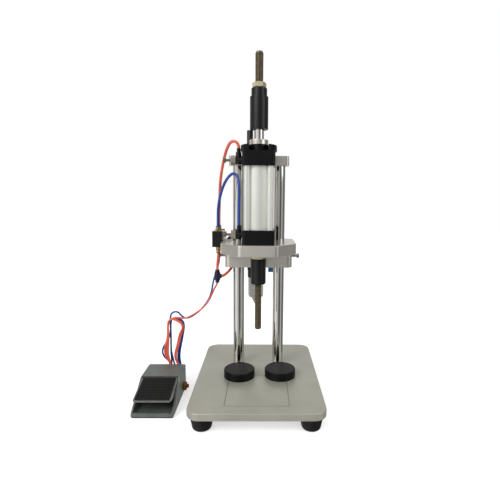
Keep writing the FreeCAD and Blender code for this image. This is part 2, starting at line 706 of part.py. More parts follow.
def upper_cap():
    """The upper end cap with its air port and the long boss that the ram comes out of."""
    body = cap(UPPER_CAP_BOTTOM, UPPER_CAP_BOTTOM, 1)
    boss = round_top(upright(NECK_RADIUS, UPPER_CAP_TOP, NECK_TOP), 0.8, NECK_TOP)
    boss = bored(boss, upright(ROD_RADIUS + 2 * CLEARANCE, UPPER_CAP_TOP, NECK_TOP))
    body = joined(body, boss)
    port = cylinder(CONTROL_STEM_RADIUS, (-CAP_SIZE / 2, 0, UPPER_CAP_TOP - UPPER_PORT_DROP),
                    (-CAP_SIZE / 2 + CONTROL_STEM_DEPTH, 0, UPPER_CAP_TOP - UPPER_PORT_DROP))
    return bored(body, port)


def barrel():
    """Extruded tube with a round ear at each corner for the long screws."""
    low = LOWER_CAP_TOP
    high = UPPER_CAP_BOTTOM
    tube = upright(BORE_RADIUS + BARREL_WALL, low, high)
    for x, y in cap_corners():
        ear = upright(EAR_RADIUS, low, high, x, y)
        reach = V(x, y, 0).Length
        web = block((0, reach), (-EAR_RADIUS * 0.7, EAR_RADIUS * 0.7), (low, high))
        web.rotate(V(0, 0, 0), V(0, 0, 1), math.degrees(math.atan2(y, x)))
        tube = tube.fuse(ear).fuse(web)
    tube = tube.removeSplitter()
    tube = bored(tube, upright(BORE_RADIUS, low, high))
    for x, y in cap_corners():
        tube = bored(tube, upright(TIE_ROD_RADIUS + SEAT_FIT, low, high, x, y))
    return tube


def tie_rods():
    """Four long screws through the barrel's ears, each with a socket nut at both ends."""
    rods = []
    for x, y in cap_corners():
        low = PLATE_TOP + 1
        high = UPPER_CAP_TOP - 1
        rod = upright(TIE_ROD_RADIUS, low, high, x, y)
        nut_low = upright(TIE_NUT_RADIUS, low, low + TIE_NUT_LENGTH, x, y)
        nut_high = upright(TIE_NUT_RADIUS, high - TIE_NUT_LENGTH, high, x, y)
        rod = joined(rod, nut_low, nut_high)
        rods.append(bored(rod,
                          upright(PLATE_SCREW_RADIUS + SEAT_FIT, low, low + 9, x, y),
                          hexagon(6, (x, y, high - 5), (x, y, high))))
    return rods


def rod_bushes():
    """The ram's two guide bushes, one in each cap."""
    bushes = []
    for outer, way in ((PLATE_TOP, -1), (UPPER_CAP_TOP, 1)):
        near = outer - way * ROD_SEAL_LENGTH
        far = near - way * BUSH_LENGTH
        bush = cylinder(ROD_RADIUS + BUSH_WALL, (0, 0, near), (0, 0, far))
        bushes.append(bored(bush, cylinder(ROD_RADIUS + RUNNING_FIT, (0, 0, near), (0, 0, far))))
    return bushes


def cylinder_seals():
    """Rod wipers in the caps and O-rings round the caps' spigots."""
    seals = []
    for outer, inner, way in ((PLATE_TOP, LOWER_CAP_TOP, -1), (UPPER_CAP_TOP, UPPER_CAP_BOTTOM, 1)):
        near = outer - way * ROD_SEAL_LENGTH
        wiper = cylinder(ROD_RADIUS + ROD_SEAL_WIDTH, (0, 0, outer), (0, 0, near))
        seals.append(bored(wiper, cylinder(ROD_RADIUS + RUNNING_FIT, (0, 0, outer), (0, 0, near))))
        ring = inner - way * 1.2
        ring_end = ring - way * O_RING_WIDTH
        body = cylinder(BORE_RADIUS, (0, 0, ring), (0, 0, ring_end))
        seals.append(bored(body, cylinder(BORE_RADIUS - O_RING_WIDTH, (0, 0, ring), (0, 0, ring_end))))
    return seals


def end_disc():
    """Round flange with a slot open to the front, which hugs the neck boss."""
    low = UPPER_CAP_TOP
    high = low + DISC_THICK
    disc = upright(DISC_RADIUS, low, high)
    disc = round_top(disc, DISC_EDGE, high)
    disc = round_top(disc, DISC_EDGE / 2, low)
    half = NECK_RADIUS + SEAT_FIT
    disc = bored(disc,
                 upright(half, low, high),
                 block((-half, half), (-DISC_RADIUS - 1, 0), (low, high)))
    x, y = post_place()
    return bored(disc, upright(POST_RADIUS / 2, low + DISC_THICK / 2, high, x, y))


def post_place():
    """The post's axis, behind the ram on its left."""
    reach = (NECK_RADIUS + POST_RADIUS + POST_GAP) / math.sqrt(2)
    return -reach, reach


def guide_post():
    """A short post on the disc, beside the ram."""
    x, y = post_place()
    low = UPPER_CAP_TOP + DISC_THICK
    high = low + POST_HEIGHT
    post = round_top(upright(POST_RADIUS, low, high, x, y), 1.5, high)
    return joined(post, upright(POST_RADIUS / 2 - SEAT_FIT, low - DISC_THICK / 2, low, x, y))


def bumper_ring():
    """The ring on the neck boss that the stroke sleeve lands on."""
    ring = upright(RING_RADIUS, NECK_TOP, RING_TOP)
    ring = round_top(ring, 1.2, RING_TOP)
    return bored(ring, upright(ROD_RADIUS + CLEARANCE, NECK_TOP, RING_TOP))


def piston_rod():
    """Through rod, threaded at both ends."""
    shoulder_low = LOWER_NUT_TOP
    shoulder_high = SLEEVE_BOTTOM + SLEEVE_RECESS_DEPTH - 2
    rod = upright(ROD_RADIUS, shoulder_low, shoulder_high)
    crown = taper(THREAD_RADIUS, THREAD_RADIUS - 1.5, (0, 0, THREAD_TOP - 2), (0, 0, THREAD_TOP))
    thread = upright(THREAD_RADIUS, shoulder_high, THREAD_TOP - 2)
    lower = upright(THREAD_RADIUS, COUPLING_TOP - COUPLING_THREAD_DEPTH + 1, shoulder_low)
    return joined(rod, thread, crown, lower)


def piston():
    """The piston with two seal grooves, clamped on the rod."""
    high = UPPER_CAP_BOTTOM - CAP_SPIGOT - PISTON_TOP_GAP
    low = high - PISTON_LENGTH
    body = upright(BORE_RADIUS - RUNNING_FIT, low, high)
    for level in (low + PISTON_LENGTH * 0.2, high - PISTON_LENGTH * 0.2 - 2.5):
        groove = upright(BORE_RADIUS, level, level + 2.5)
        groove = bored(groove, upright(BORE_RADIUS - 3, level, level + 2.5))
        body = bored(body, groove)
    return bored(body, upright(ROD_RADIUS + SEAT_FIT, low, high))


def piston_seals():
    """The rubber rings in the piston's grooves."""
    high = UPPER_CAP_BOTTOM - CAP_SPIGOT - PISTON_TOP_GAP
    low = high - PISTON_LENGTH
    rings = []
    for level in (low + PISTON_LENGTH * 0.2, high - PISTON_LENGTH * 0.2 - 2.5):
        ring = upright(BORE_RADIUS - RUNNING_FIT / 2, level, level + 2.5)
        rings.append(bored(ring, upright(BORE_RADIUS - 3, level, level + 2.5)))
    return rings


def hex_nut(low, height):
    """A hexagon nut on the ram's thread, with its corners turned off."""
    nut = hexagon(NUT_FLATS, (0, 0, low), (0, 0, low + height))
    corner = NUT_FLATS / math.sqrt(3)
    flat = NUT_FLATS / 2
    slope = (corner - flat) * math.tan(math.radians(30))
    envelope = joined(taper(flat, corner + 0.01, (0, 0, low), (0, 0, low + slope)),
                      upright(corner + 0.01, low + slope, low + height - slope),
                      taper(corner + 0.01, flat, (0, 0, low + height - slope), (0, 0, low + height)))
    return bored(nut.common(envelope), upright(THREAD_RADIUS + SEAT_FIT, low, low + height))


def stroke_sleeve():
    """Stepped stop sleeve on the ram's thread, hollow underneath."""
    body = joined(upright(SLEEVE_RADIUS, SLEEVE_BOTTOM, SLEEVE_STEP),
                  upright(SLEEVE_COLLAR_RADIUS, SLEEVE_STEP, SLEEVE_TOP - 2),
                  taper(SLEEVE_COLLAR_RADIUS, SLEEVE_COLLAR_RADIUS - 2, (0, 0, SLEEVE_TOP - 2), (0, 0, SLEEVE_TOP)))
    body = round_top(body, 1.0, SLEEVE_BOTTOM)
    return bored(body,
                 upright(SLEEVE_RECESS_RADIUS, SLEEVE_BOTTOM, SLEEVE_BOTTOM + SLEEVE_RECESS_DEPTH),
                 upright(THREAD_RADIUS + RUNNING_FIT, SLEEVE_BOTTOM, SLEEVE_TOP))


def coupling():
    """Round coupling that joins the ram to the tool stud."""
    body = upright(COUPLING_RADIUS, COUPLING_BOTTOM, COUPLING_TOP)
    body = round_top(body, 3.0, COUPLING_BOTTOM)
    body = round_top(body, 1.0, COUPLING_TOP)
    return bored(body,
                 upright(THREAD_RADIUS + SEAT_FIT, COUPLING_TOP - COUPLING_THREAD_DEPTH, COUPLING_TOP),
                 upright(STUD_RADIUS + SEAT_FIT, COUPLING_BOTTOM, COUPLING_BOTTOM + STUD_IN))


def tool_stud():
    """Threaded stud that a capping head screws on to."""
    stud = upright(STUD_RADIUS, STUD_BOTTOM + 2, COUPLING_BOTTOM + STUD_IN - 1)
    return joined(stud, taper(STUD_RADIUS - 1.5, STUD_RADIUS, (0, 0, STUD_BOTTOM), (0, 0, STUD_BOTTOM + 2)))


def flow_control(port, top, bottom):
    """Elbow speed controller: stem in the cap, upright tube socket, and its lock nut."""
    face = -CAP_SIZE / 2
    x = face - CONTROL_STANDOFF
    left = x - CONTROL_BODY_RADIUS
    seat = left - 0.5
    body = upright(CONTROL_BODY_RADIUS, bottom, top - CONTROL_COLLAR_LENGTH, x)
    body = round_top(body, 1.0, bottom)
    collar = upright(CONTROL_COLLAR_RADIUS, top - CONTROL_COLLAR_LENGTH, top, x)
    stem = cylinder(CONTROL_STEM_RADIUS - SEAT_FIT, (face + CONTROL_STEM_DEPTH - 1, 0, port), (seat, 0, port))
    body = joined(body, collar, stem)
    nut = hexagon(CONTROL_NUT_FLATS, (left - CONTROL_NUT_LENGTH, 0, port), (seat, 0, port))
    bore = cylinder(NEEDLE_RADIUS + RUNNING_FIT, (left - CONTROL_NUT_LENGTH, 0, port), (x, 0, port))
    return body.cut(bore), nut.cut(bore)


def needle(port):
    """The controller's needle with its knurled knob."""
    x = -CAP_SIZE / 2 - CONTROL_STANDOFF
    left = x - CONTROL_BODY_RADIUS - CONTROL_NUT_LENGTH - NEEDLE_OUT
    shank = cylinder(NEEDLE_RADIUS, (left, 0, port), (x - 1, 0, port))
    knob = cylinder(NEEDLE_KNOB_RADIUS, (left - NEEDLE_KNOB_LENGTH, 0, port), (left, 0, port))
    slot = block((left - NEEDLE_KNOB_LENGTH, left - NEEDLE_KNOB_LENGTH + 1.2), (-0.6, 0.6), (port - 6, port + 6))
    return joined(shank, knob).cut(slot)


def valve_body():
    """Valve body with the spool's bore, ports above and below, and a waist along each side."""
    x = (VALVE_LEFT, VALVE_RIGHT)
    body = block(x, (VALVE_BODY_FRONT, VALVE_BODY_BACK), (VALVE_BOTTOM + 1, VALVE_TOP - 1))
    middle = (VALVE_BOTTOM + VALVE_TOP) / 2
    body = bored(body,
                 cylinder(SPOOL_RADIUS + RUNNING_FIT, (VALVE_X, VALVE_BODY_FRONT, middle),
                          (VALVE_X, VALVE_BODY_BACK, middle)))
    for y in (FEED_PORT, RETURN_PORT):
        body = bored(body, upright(HOSE_RADIUS, middle, VALVE_TOP, VALVE_X, VALVE_BODY_FRONT + y))
    body = bored(body, upright(HOSE_RADIUS, VALVE_BOTTOM, middle, VALVE_X, SUPPLY_Y))
    body = bored(body, upright(PILOT_HOSE_RADIUS, VALVE_BOTTOM, middle, VALVE_X, PILOT_Y))
    for y in valve_bracket_screws():
        z = VALVE_TOP - 8
        body = bored(body, cylinder(2 + SEAT_FIT, (VALVE_RIGHT - 7, y, z), (VALVE_RIGHT, y, z)))
    return body


def valve_caps():
    """Front and rear end caps of the valve."""
    caps = []
    middle = (VALVE_BOTTOM + VALVE_TOP) / 2
    for front, mouth in ((VALVE_FRONT, VALVE_BODY_FRONT), (VALVE_BODY_BACK + VALVE_CAP_LENGTH, VALVE_BODY_BACK)):
        low = min(front, mouth)
        high = max(front, mouth)
        way = 1 if front < mouth else -1
        cover = block((VALVE_LEFT, VALVE_RIGHT), (low, high), (VALVE_BOTTOM, VALVE_TOP))
        rims = edges_along(cover, (1, 0, 0), lambda point, y=front: abs(point.y - y) < 1e-6)
        rims += edges_along(cover, (0, 0, 1), lambda point, y=front: abs(point.y - y) < 1e-6)
        cover = cover.makeFillet(1.5, rims)
        chamber = cylinder(SPOOL_RADIUS + 1, (VALVE_X, mouth, middle), (VALVE_X, mouth - way * 8, middle))
        caps.append(cover.cut(chamber))
    return caps


def valve_spool():
    """The valve's spool: four lands on a thin stem."""
    middle = (VALVE_BOTTOM + VALVE_TOP) / 2
    low = VALVE_BODY_FRONT - 2
    high = VALVE_BODY_BACK + 2 - SPOOL_TRAVEL
    stem = cylinder(SPOOL_RADIUS * 0.5, (VALVE_X, low, middle), (VALVE_X, high, middle))
    lands = []
    land = (high - low) / 8
    for step in range(4):
        start = low + (high - low - land) * step / 3
        lands.append(cylinder(SPOOL_RADIUS, (VALVE_X, start, middle), (VALVE_X, start + land, middle)))
    return joined(stem, *lands)


def push_fitting(x, y, start, end, radius, bore):
    """A push-in hose fitting along Z: hexagon, barrel and release collar."""
    way = 1 if end > start else -1
    length = abs(end - start)
    hexa = hexagon(radius * 1.75, (x, y, start), (x, y, start + way * length * 0.4))
    shell = cylinder(radius, (x, y, start + way * length * 0.4), (x, y, start + way * length * 0.8))
    collar = cylinder(radius * 0.85, (x, y, start + way * length * 0.8), (x, y, end))
    return joined(hexa, shell, collar).cut(cylinder(bore, (x, y, start), (x, y, end - way * length * 0.3)))


def push_fittings():
    """The valve's four fittings and the filter's outlet fitting."""
    fittings = []
    for y in (FEED_PORT, RETURN_PORT):
        fittings.append(push_fitting(VALVE_X, VALVE_BODY_FRONT + y, VALVE_TOP - 1,
                                     VALVE_TOP - 1 + FITTING_HEIGHT, FITTING_RADIUS, HOSE_RADIUS - 1))
    fittings.append(push_fitting(VALVE_X, SUPPLY_Y, VALVE_BOTTOM + 1, FITTING_BOTTOM, FITTING_RADIUS,
                                 HOSE_RADIUS - 1))
    fittings.append(push_fitting(VALVE_X, PILOT_Y, VALVE_BOTTOM + 1, FITTING_BOTTOM, PILOT_FITTING_RADIUS,
                                 PILOT_HOSE_RADIUS - 0.7))
    left = FILTER_X - FILTER_BODY_SIZE / 2
    outlet = joined(cylinder(6.0, (left, FILTER_Y, INLET_HEIGHT), (left - 8, FILTER_Y, INLET_HEIGHT)),
                    cylinder(FITTING_RADIUS, (left - 8, FILTER_Y, INLET_HEIGHT),
                             (left - OUTLET_LENGTH, FILTER_Y, INLET_HEIGHT)))
    fittings.append(outlet)
    return fittings


def inlet_elbow():
    """The elbow that the air supply is plugged into."""
    right = FILTER_X + FILTER_BODY_SIZE / 2
    elbow = joined(cylinder(5.5, (right, FILTER_Y, INLET_HEIGHT), (INLET_ELBOW_X, FILTER_Y, INLET_HEIGHT)),
                   upright(INLET_RADIUS, INLET_BOTTOM, INLET_HEIGHT + 6, INLET_ELBOW_X, FILTER_Y))
    elbow = round_top(elbow, 2.0, INLET_HEIGHT + 6)
    return bored(elbow, upright(INLET_BORE_RADIUS, INLET_BOTTOM, INLET_BOTTOM + INLET_BORE_DEPTH, INLET_ELBOW_X,
                                FILTER_Y))


def head_brackets():
    """Angle for the valve on the head plate, and angle for the filter on the clamp bar."""
    edge = -PLATE_WIDTH / 2
    front, back = valve_bracket_screws()
    span = (front - 7, back + 7)
    leg = block((VALVE_RIGHT, edge + 2), span, (PLATE_TOP, VALVE_TOP - 2))
    foot = block((VALVE_RIGHT, edge + 20), span, (PLATE_TOP, PLATE_TOP + BRACKET_THICK))
    valve_angle = joined(leg, foot)
    for y in (front, back):
        valve_angle = bored(valve_angle,
                            upright(2 + SEAT_FIT, PLATE_TOP, PLATE_TOP + BRACKET_THICK, edge + 13, y),
                            cylinder(2 + SEAT_FIT, (VALVE_RIGHT, y, VALVE_TOP - 8), (edge + 2, y, VALVE_TOP - 8)))
    half = FILTER_BODY_SIZE / 2
    x = (FILTER_X - half, FILTER_X + half)
    web = block(x, (BAR_BACK, BAR_BACK + BRACKET_THICK), (FILTER_BODY_TOP, PLATE_BOTTOM - 1))
    shelf = block(x, (BAR_BACK, FILTER_Y + half), (FILTER_BODY_TOP, FILTER_BODY_TOP + BRACKET_THICK))
    filter_angle = bored(joined(web, shelf),
                         upright(BONNET_RADIUS + SEAT_FIT, FILTER_BODY_TOP, FILTER_BODY_TOP + BRACKET_THICK,
                                 FILTER_X, FILTER_Y))
    z = BAR_BOTTOM + BAR_HEIGHT - 8
    for offset in (-12, 12):
        filter_angle = bored(filter_angle, cylinder(2.5 + SEAT_FIT, (FILTER_X + offset, BAR_BACK, z),
                                                    (FILTER_X + offset, BAR_BACK + BRACKET_THICK, z)))
    return valve_angle, filter_angle


def filter_body():
    """Regulator body with its bowl ring and the bonnet thread that passes the bracket."""
    half = FILTER_BODY_SIZE / 2
    body = rounded_block((FILTER_X - half, FILTER_X + half), (FILTER_Y - half, FILTER_Y + half),
                         (FILTER_BODY_BOTTOM, FILTER_BODY_TOP), 5)
    ring = upright(FILTER_RING_RADIUS, FILTER_RING_BOTTOM, FILTER_BODY_BOTTOM, FILTER_X, FILTER_Y)
    ring = round_top(ring, 1.5, FILTER_RING_BOTTOM)
    bonnet = upright(BONNET_RADIUS, FILTER_BODY_TOP, FILTER_BODY_TOP + BRACKET_THICK, FILTER_X, FILTER_Y)
    nut = upright(BONNET_RADIUS + 4, FILTER_BODY_TOP + BRACKET_THICK, FILTER_BODY_TOP + BRACKET_THICK + 5,
                  FILTER_X, FILTER_Y)
    body = joined(body, ring, bonnet, nut)
    inner = BOWL_RADIUS + SEAT_FIT
    element = upright(9, FILTER_RING_BOTTOM - 28, FILTER_BODY_BOTTOM, FILTER_X, FILTER_Y)
    cavity = upright(inner, FILTER_RING_BOTTOM, FILTER_BODY_BOTTOM - 4, FILTER_X, FILTER_Y)
    return joined(body.cut(cavity), element)


def filter_bowl():
    """Clear bowl with a rounded bottom."""
    top = FILTER_BODY_BOTTOM - 4 - SEAT_FIT
    bowl = upright(BOWL_RADIUS, BOWL_BOTTOM, top, FILTER_X, FILTER_Y)
    bowl = round_top(bowl, 8.0, BOWL_BOTTOM)
    inside = upright(BOWL_RADIUS - BOWL_WALL, BOWL_BOTTOM + BOWL_WALL, top, FILTER_X, FILTER_Y)
    inside = round_top(inside, 8.0 - BOWL_WALL, BOWL_BOTTOM + BOWL_WALL)
    hole = upright(DRAIN_THREAD_RADIUS + SEAT_FIT, BOWL_BOTTOM, BOWL_BOTTOM + BOWL_WALL, FILTER_X, FILTER_Y)
    return bored(bowl, inside, hole)


def drain_valve():
    """The bowl's drain: a tapered brass nipple screwed through the bowl's bottom."""
    low = BOWL_BOTTOM - DRAIN_LENGTH
    inside = BOWL_BOTTOM + BOWL_WALL
    nipple = joined(taper(DRAIN_TIP_RADIUS, DRAIN_RADIUS, (FILTER_X, FILTER_Y, low),
                          (FILTER_X, FILTER_Y, BOWL_BOTTOM - 3)),
                    upright(DRAIN_RADIUS, BOWL_BOTTOM - 3, BOWL_BOTTOM, FILTER_X, FILTER_Y),
                    upright(DRAIN_THREAD_RADIUS, BOWL_BOTTOM, inside, FILTER_X, FILTER_Y),
                    upright(DRAIN_THREAD_RADIUS + 2, inside, inside + 3, FILTER_X, FILTER_Y))
    return bored(nipple, upright(1.2, low, inside + 3, FILTER_X, FILTER_Y))


def regulator_knob():
    """The regulator's knob, fluted for grip."""
    low = FILTER_BODY_TOP + BRACKET_THICK + 5 + CLEARANCE
    high = low + KNOB_HEIGHT
    knob = round_top(upright(KNOB_RADIUS, low, high, FILTER_X, FILTER_Y), 2.0, high)
    for step in range(12):
        angle = math.radians(30 * step)
        x = FILTER_X + (KNOB_RADIUS + 0.8) * math.cos(angle)
        y = FILTER_Y + (KNOB_RADIUS + 0.8) * math.sin(angle)
        knob = bored(knob, upright(2.2, low + 6, high + 1, x, y))
    return knob


def tee_piece():
    """Push-in tee: supply from the branch goes up to the valve and down to the pedal."""
    low = TEE_BOTTOM + TEE_COLLAR
    high = TEE_TOP - TEE_COLLAR
    body = round_top(upright(TEE_RADIUS, low, high, TEE_X, SUPPLY_Y), 1.0, high)
    body = round_top(body, 1.0, low)
    branch_end = TEE_X + TEE_BRANCH_LENGTH
    return joined(body,
                  upright(TEE_RADIUS * 0.8, high, TEE_TOP, TEE_X, SUPPLY_Y),
                  upright(TEE_RADIUS * 0.7, TEE_BOTTOM, low, TEE_X, SUPPLY_Y),
                  cylinder(TEE_BRANCH_RADIUS, (TEE_X, SUPPLY_Y, TEE_BRANCH_HEIGHT),
                           (branch_end, SUPPLY_Y, TEE_BRANCH_HEIGHT)))


def pedal_outline(front, back, low, top_front, top_back, x_low, x_high):
    """A side wall of the casting: low at the toe, rising to the rear housing."""
    points = [(x_low, front, low), (x_low, back, low), (x_low, back, top_back),
              (x_low, PEDAL_COVER_FRONT, top_back), (x_low, front, top_front)]
    return prism(points, (x_high - x_low, 0, 0))


def pedal_casting():
    """Open casting: floor, two side walls, toe lip, rear block with the spool's bore, and top cover."""
    low = FLOOR + PEDAL_SOLE
    inner = PEDAL_HALF_WIDTH - PEDAL_WALL
    whole = (PEDAL_X - PEDAL_HALF_WIDTH, PEDAL_X + PEDAL_HALF_WIDTH)
    between = (PEDAL_X - inner, PEDAL_X + inner)
    floor = block(whole, (PEDAL_FRONT, PEDAL_REAR), (low, low + PEDAL_FLOOR))
    lip = block(whole, (PEDAL_FRONT, PEDAL_FRONT + PEDAL_WALL), (low, low + PEDAL_FLOOR + PEDAL_LIP))
    left = pedal_outline(PEDAL_FRONT, PEDAL_REAR, low, low + PEDAL_FLOOR + PEDAL_LIP, PEDAL_TOP,
                         whole[0], between[0])
    right = pedal_outline(PEDAL_FRONT, PEDAL_REAR, low, low + PEDAL_FLOOR + PEDAL_LIP, PEDAL_TOP,
                          between[1], whole[1])
    rear = block(whole, (PEDAL_BLOCK_FRONT, PEDAL_REAR), (low, PEDAL_TOP))
    cover = block(whole, (PEDAL_COVER_FRONT, PEDAL_REAR), (PEDAL_TOP - PEDAL_COVER_THICK, PEDAL_TOP))
    body = joined(floor, lip, left, right, rear, cover)
    corners = edges_along(body, (0, 0, 1), lambda point: abs(point.y - PEDAL_REAR) < 1e-6)
    body = body.makeFillet(3.0, corners)
    tops = edges_along(body, (0, 1, 0), lambda point: abs(point.z - PEDAL_TOP) < 1e-6)
    body = body.makeFillet(2.0, tops)
    bore_z = PEDAL_PIVOT_Z - PEDAL_SPOOL_DROP
    return bored(body,
                 cylinder(PEDAL_PIN_RADIUS + SEAT_FIT, (whole[0], PEDAL_PIVOT_Y, PEDAL_PIVOT_Z),
                          (whole[1], PEDAL_PIVOT_Y, PEDAL_PIVOT_Z)),
                 cylinder(PEDAL_SPOOL_RADIUS + RUNNING_FIT, (PEDAL_X, PEDAL_BLOCK_FRONT, bore_z),
                          (PEDAL_X, PEDAL_REAR - 3, bore_z)),
                 *pedal_floor_holes())


def pedal_floor_holes():
    """Screw holes in the casting's floor near the toe."""
    low = FLOOR + PEDAL_SOLE
    holes = []
    for x, y in ((-30, -79), (-20, -84), (20, -84), (30, -79)):
        holes.append(upright(2.2, low, low + PEDAL_FLOOR, PEDAL_X + x, y))
    return holes


def pedal_sole():
    """Thin rubber sole under the casting."""
    x = (PEDAL_X - PEDAL_HALF_WIDTH + 0.5, PEDAL_X + PEDAL_HALF_WIDTH - 0.5)
    return rounded_block(x, (PEDAL_FRONT + 0.5, PEDAL_REAR - 0.5), (FLOOR, FLOOR + PEDAL_SOLE), 2.5)


def place_pedal(shape):
    """Turn a piece drawn level about the pedal's pin to its rest slope, and put it in place."""
    shape.rotate(V(0, 0, 0), V(1, 0, 0), PEDAL_SLOPE)
    shape.translate(V(PEDAL_X, PEDAL_PIVOT_Y, PEDAL_PIVOT_Z))
    return shape


def pedal_plate():
    """Pressed tread plate with side flanges, a hinge barrel and the finger that pushes the spool."""
    half = PEDAL_HALF_WIDTH - PEDAL_WALL - 2 * CLEARANCE
    top = PEDAL_PLATE_RISE
    under = top - PEDAL_PLATE_THICK
    plate = block((-half, half), (-PEDAL_PLATE_REACH, -10), (under, top))
    toe = edges_along(plate, (0, 0, 1), lambda point: point.y < -PEDAL_PLATE_REACH + 1)
    plate = plate.makeFillet(4.0, toe)
    flanges = []
    for side in (-1, 1):
        outer = side * half
        inner = side * (half - 2)
        low_x = min(outer, inner)
        points = [(low_x, -PEDAL_PLATE_REACH + 6, under), (low_x, -12, under), (low_x, -12, under - PEDAL_FLANGE),
                  (low_x, -PEDAL_PLATE_REACH + 22, under - PEDAL_FLANGE)]
        flanges.append(prism(points, (2, 0, 0)))
    reach = half - 8
    tube = cylinder(6.5, (-reach, 0, 0), (reach, 0, 0))
    web = block((-reach, reach), (-13, -5), (0, under))
    bridge = block((-reach, reach), (-13, 0), (-4, 4))
    body = joined(plate, *flanges, tube, web, bridge)
    body = place_pedal(body)
    finger = block((PEDAL_X - 5, PEDAL_X + 5), (PEDAL_PIVOT_Y - 4, PEDAL_PIVOT_Y + 3),
                   (PEDAL_PIVOT_Z - PEDAL_SPOOL_DROP - 5, PEDAL_PIVOT_Z))
    pin = (PEDAL_X - 50, PEDAL_PIVOT_Y, PEDAL_PIVOT_Z)
    bore = cylinder(PEDAL_PIN_RADIUS + RUNNING_FIT, pin, (PEDAL_X + 50, PEDAL_PIVOT_Y, PEDAL_PIVOT_Z))
    return joined(body, finger).cut(bore)


def pedal_pad():
    """Rubber tread pad with raised cross ribs."""
    top = PEDAL_PLATE_RISE
    front = -PEDAL_PLATE_REACH + 4
    pad = block((-PAD_WIDTH / 2, PAD_WIDTH / 2), (front, front + PAD_LENGTH), (top, top + PAD_THICK))
    pitch = PAD_LENGTH / PAD_RIBS
    for step in range(PAD_RIBS - 1):
        y = front + pitch * (step + 1)
        pad = bored(pad, block((-PAD_WIDTH / 2 + 2, PAD_WIDTH / 2 - 2), (y - 0.6, y + 0.6),
                               (top + PAD_THICK - 0.7, top + PAD_THICK)))
    return place_pedal(pad)


def pedal_pin():
    """The pin that the tread plate turns on, held in both walls."""
    y = PEDAL_PIVOT_Y
    return cylinder(PEDAL_PIN_RADIUS, (PEDAL_X - PEDAL_HALF_WIDTH + 0.5, y, PEDAL_PIVOT_Z),
                    (PEDAL_X + PEDAL_HALF_WIDTH - 0.5, y, PEDAL_PIVOT_Z))


def pedal_spring():
    """Return spring under the tread plate, standing on the casting's floor."""
    low = FLOOR + PEDAL_SOLE + PEDAL_FLOOR + SPRING_WIRE + 0.1
    slope = math.radians(PEDAL_SLOPE)
    under = PEDAL_PLATE_RISE - PEDAL_PLATE_THICK
    along = SPRING_Y - PEDAL_PIVOT_Y - SPRING_RADIUS / 2
    high = PEDAL_PIVOT_Z + along * math.tan(slope) + under / math.cos(slope) - SPRING_WIRE - 0.5
    pitch = (high - low) / SPRING_TURNS
    helix = Part.makeHelix(pitch, high - low, SPRING_RADIUS)
    wire = Part.Wire(Part.Circle(V(SPRING_RADIUS, 0, 0), V(0, 1, 0), SPRING_WIRE).toShape())
    spring = Part.Wire(helix).makePipeShell([wire], True, True)
    spring.translate(V(PEDAL_X, SPRING_Y, low))
    return spring


def pedal_spool():
    """The pilot spool that the tread plate's finger pushes."""
    z = PEDAL_PIVOT_Z - PEDAL_SPOOL_DROP
    start = PEDAL_PIVOT_Y + 3 + CLEARANCE
    end = PEDAL_REAR - 3 - PEDAL_SPOOL_TRAVEL - 1
    stem = cylinder(PEDAL_SPOOL_RADIUS * 0.6, (PEDAL_X, start, z), (PEDAL_X, end, z))
    first = cylinder(PEDAL_SPOOL_RADIUS, (PEDAL_X, PEDAL_BLOCK_FRONT + 1, z), (PEDAL_X, PEDAL_BLOCK_FRONT + 12, z))
    last = cylinder(PEDAL_SPOOL_RADIUS, (PEDAL_X, end - 10, z), (PEDAL_X, end, z))
    return joined(stem, first, last)


def pedal_fittings():
    """Exhaust silencer on the right wall, and two hose fittings with their tails on the rear face."""
    wall = PEDAL_X + PEDAL_HALF_WIDTH
    y = SILENCER_Y
    z = SILENCER_Z
    silencer = joined(cylinder(6.0, (wall, y, z), (wall + 1, y, z)),
                      taper(10.0, 8.5, (wall + 1, y, z), (wall + 6, y, z)),
                      cylinder(4.0, (wall + 6, y, z), (wall + 10.5, y, z)))
    fittings = [silencer]
    for side in (-1, 1):
        x = PEDAL_X + PEDAL_PORT_SHIFT + side * PEDAL_PORT_PITCH / 2
        start = (x, PEDAL_REAR, PEDAL_PORT_Z)
        middle = (x, PEDAL_REAR + 3, PEDAL_PORT_Z)
        end = (x, PEDAL_REAR + 6, PEDAL_PORT_Z)
        tail = (x, HANK_Y - HANK_DEPTH / 2, PEDAL_PORT_Z)
        fittings.append(joined(hexagon(7, start, middle), cylinder(3.4, middle, end),
                               cylinder(PILOT_HOSE_RADIUS, end, tail)))
    return fittings


def hose_hank():
    """Outer shape of the spare hose: a tall loop with a loose turn at its left, tied near the top."""
    outline = [(-167, 98), (-167, 116), (-179, 120), (-186, 128), (-192, 123), (-199, 114), (-203, 100), (-206, 66),
               (-214, 46), (-221, 30), (-219, 13), (-210, 0), (-208, FLOOR), (-180, FLOOR), (-177, 5), (-172, 46)]
    opening = [(-186, 99), (-193, 83), (-196.5, 60), (-198, 14), (-196.5, -6), (-192, -6), (-192, 14), (-186, 52),
               (-183, 85)]
    front = HANK_Y - HANK_DEPTH / 2
    shape = prism([(x, front, z) for x, z in outline], (0, HANK_DEPTH, 0))
    rims = [edge for edge in shape.Edges if edge.BoundBox.YLength < 1e-6 and edge.BoundBox.ZMin > FLOOR + 1e-6]
    shape = shape.makeFillet(HANK_ROUND, rims)
    return bored(shape, prism([(x, front - 1, z) for x, z in opening], (0, HANK_DEPTH + 2, 0)))


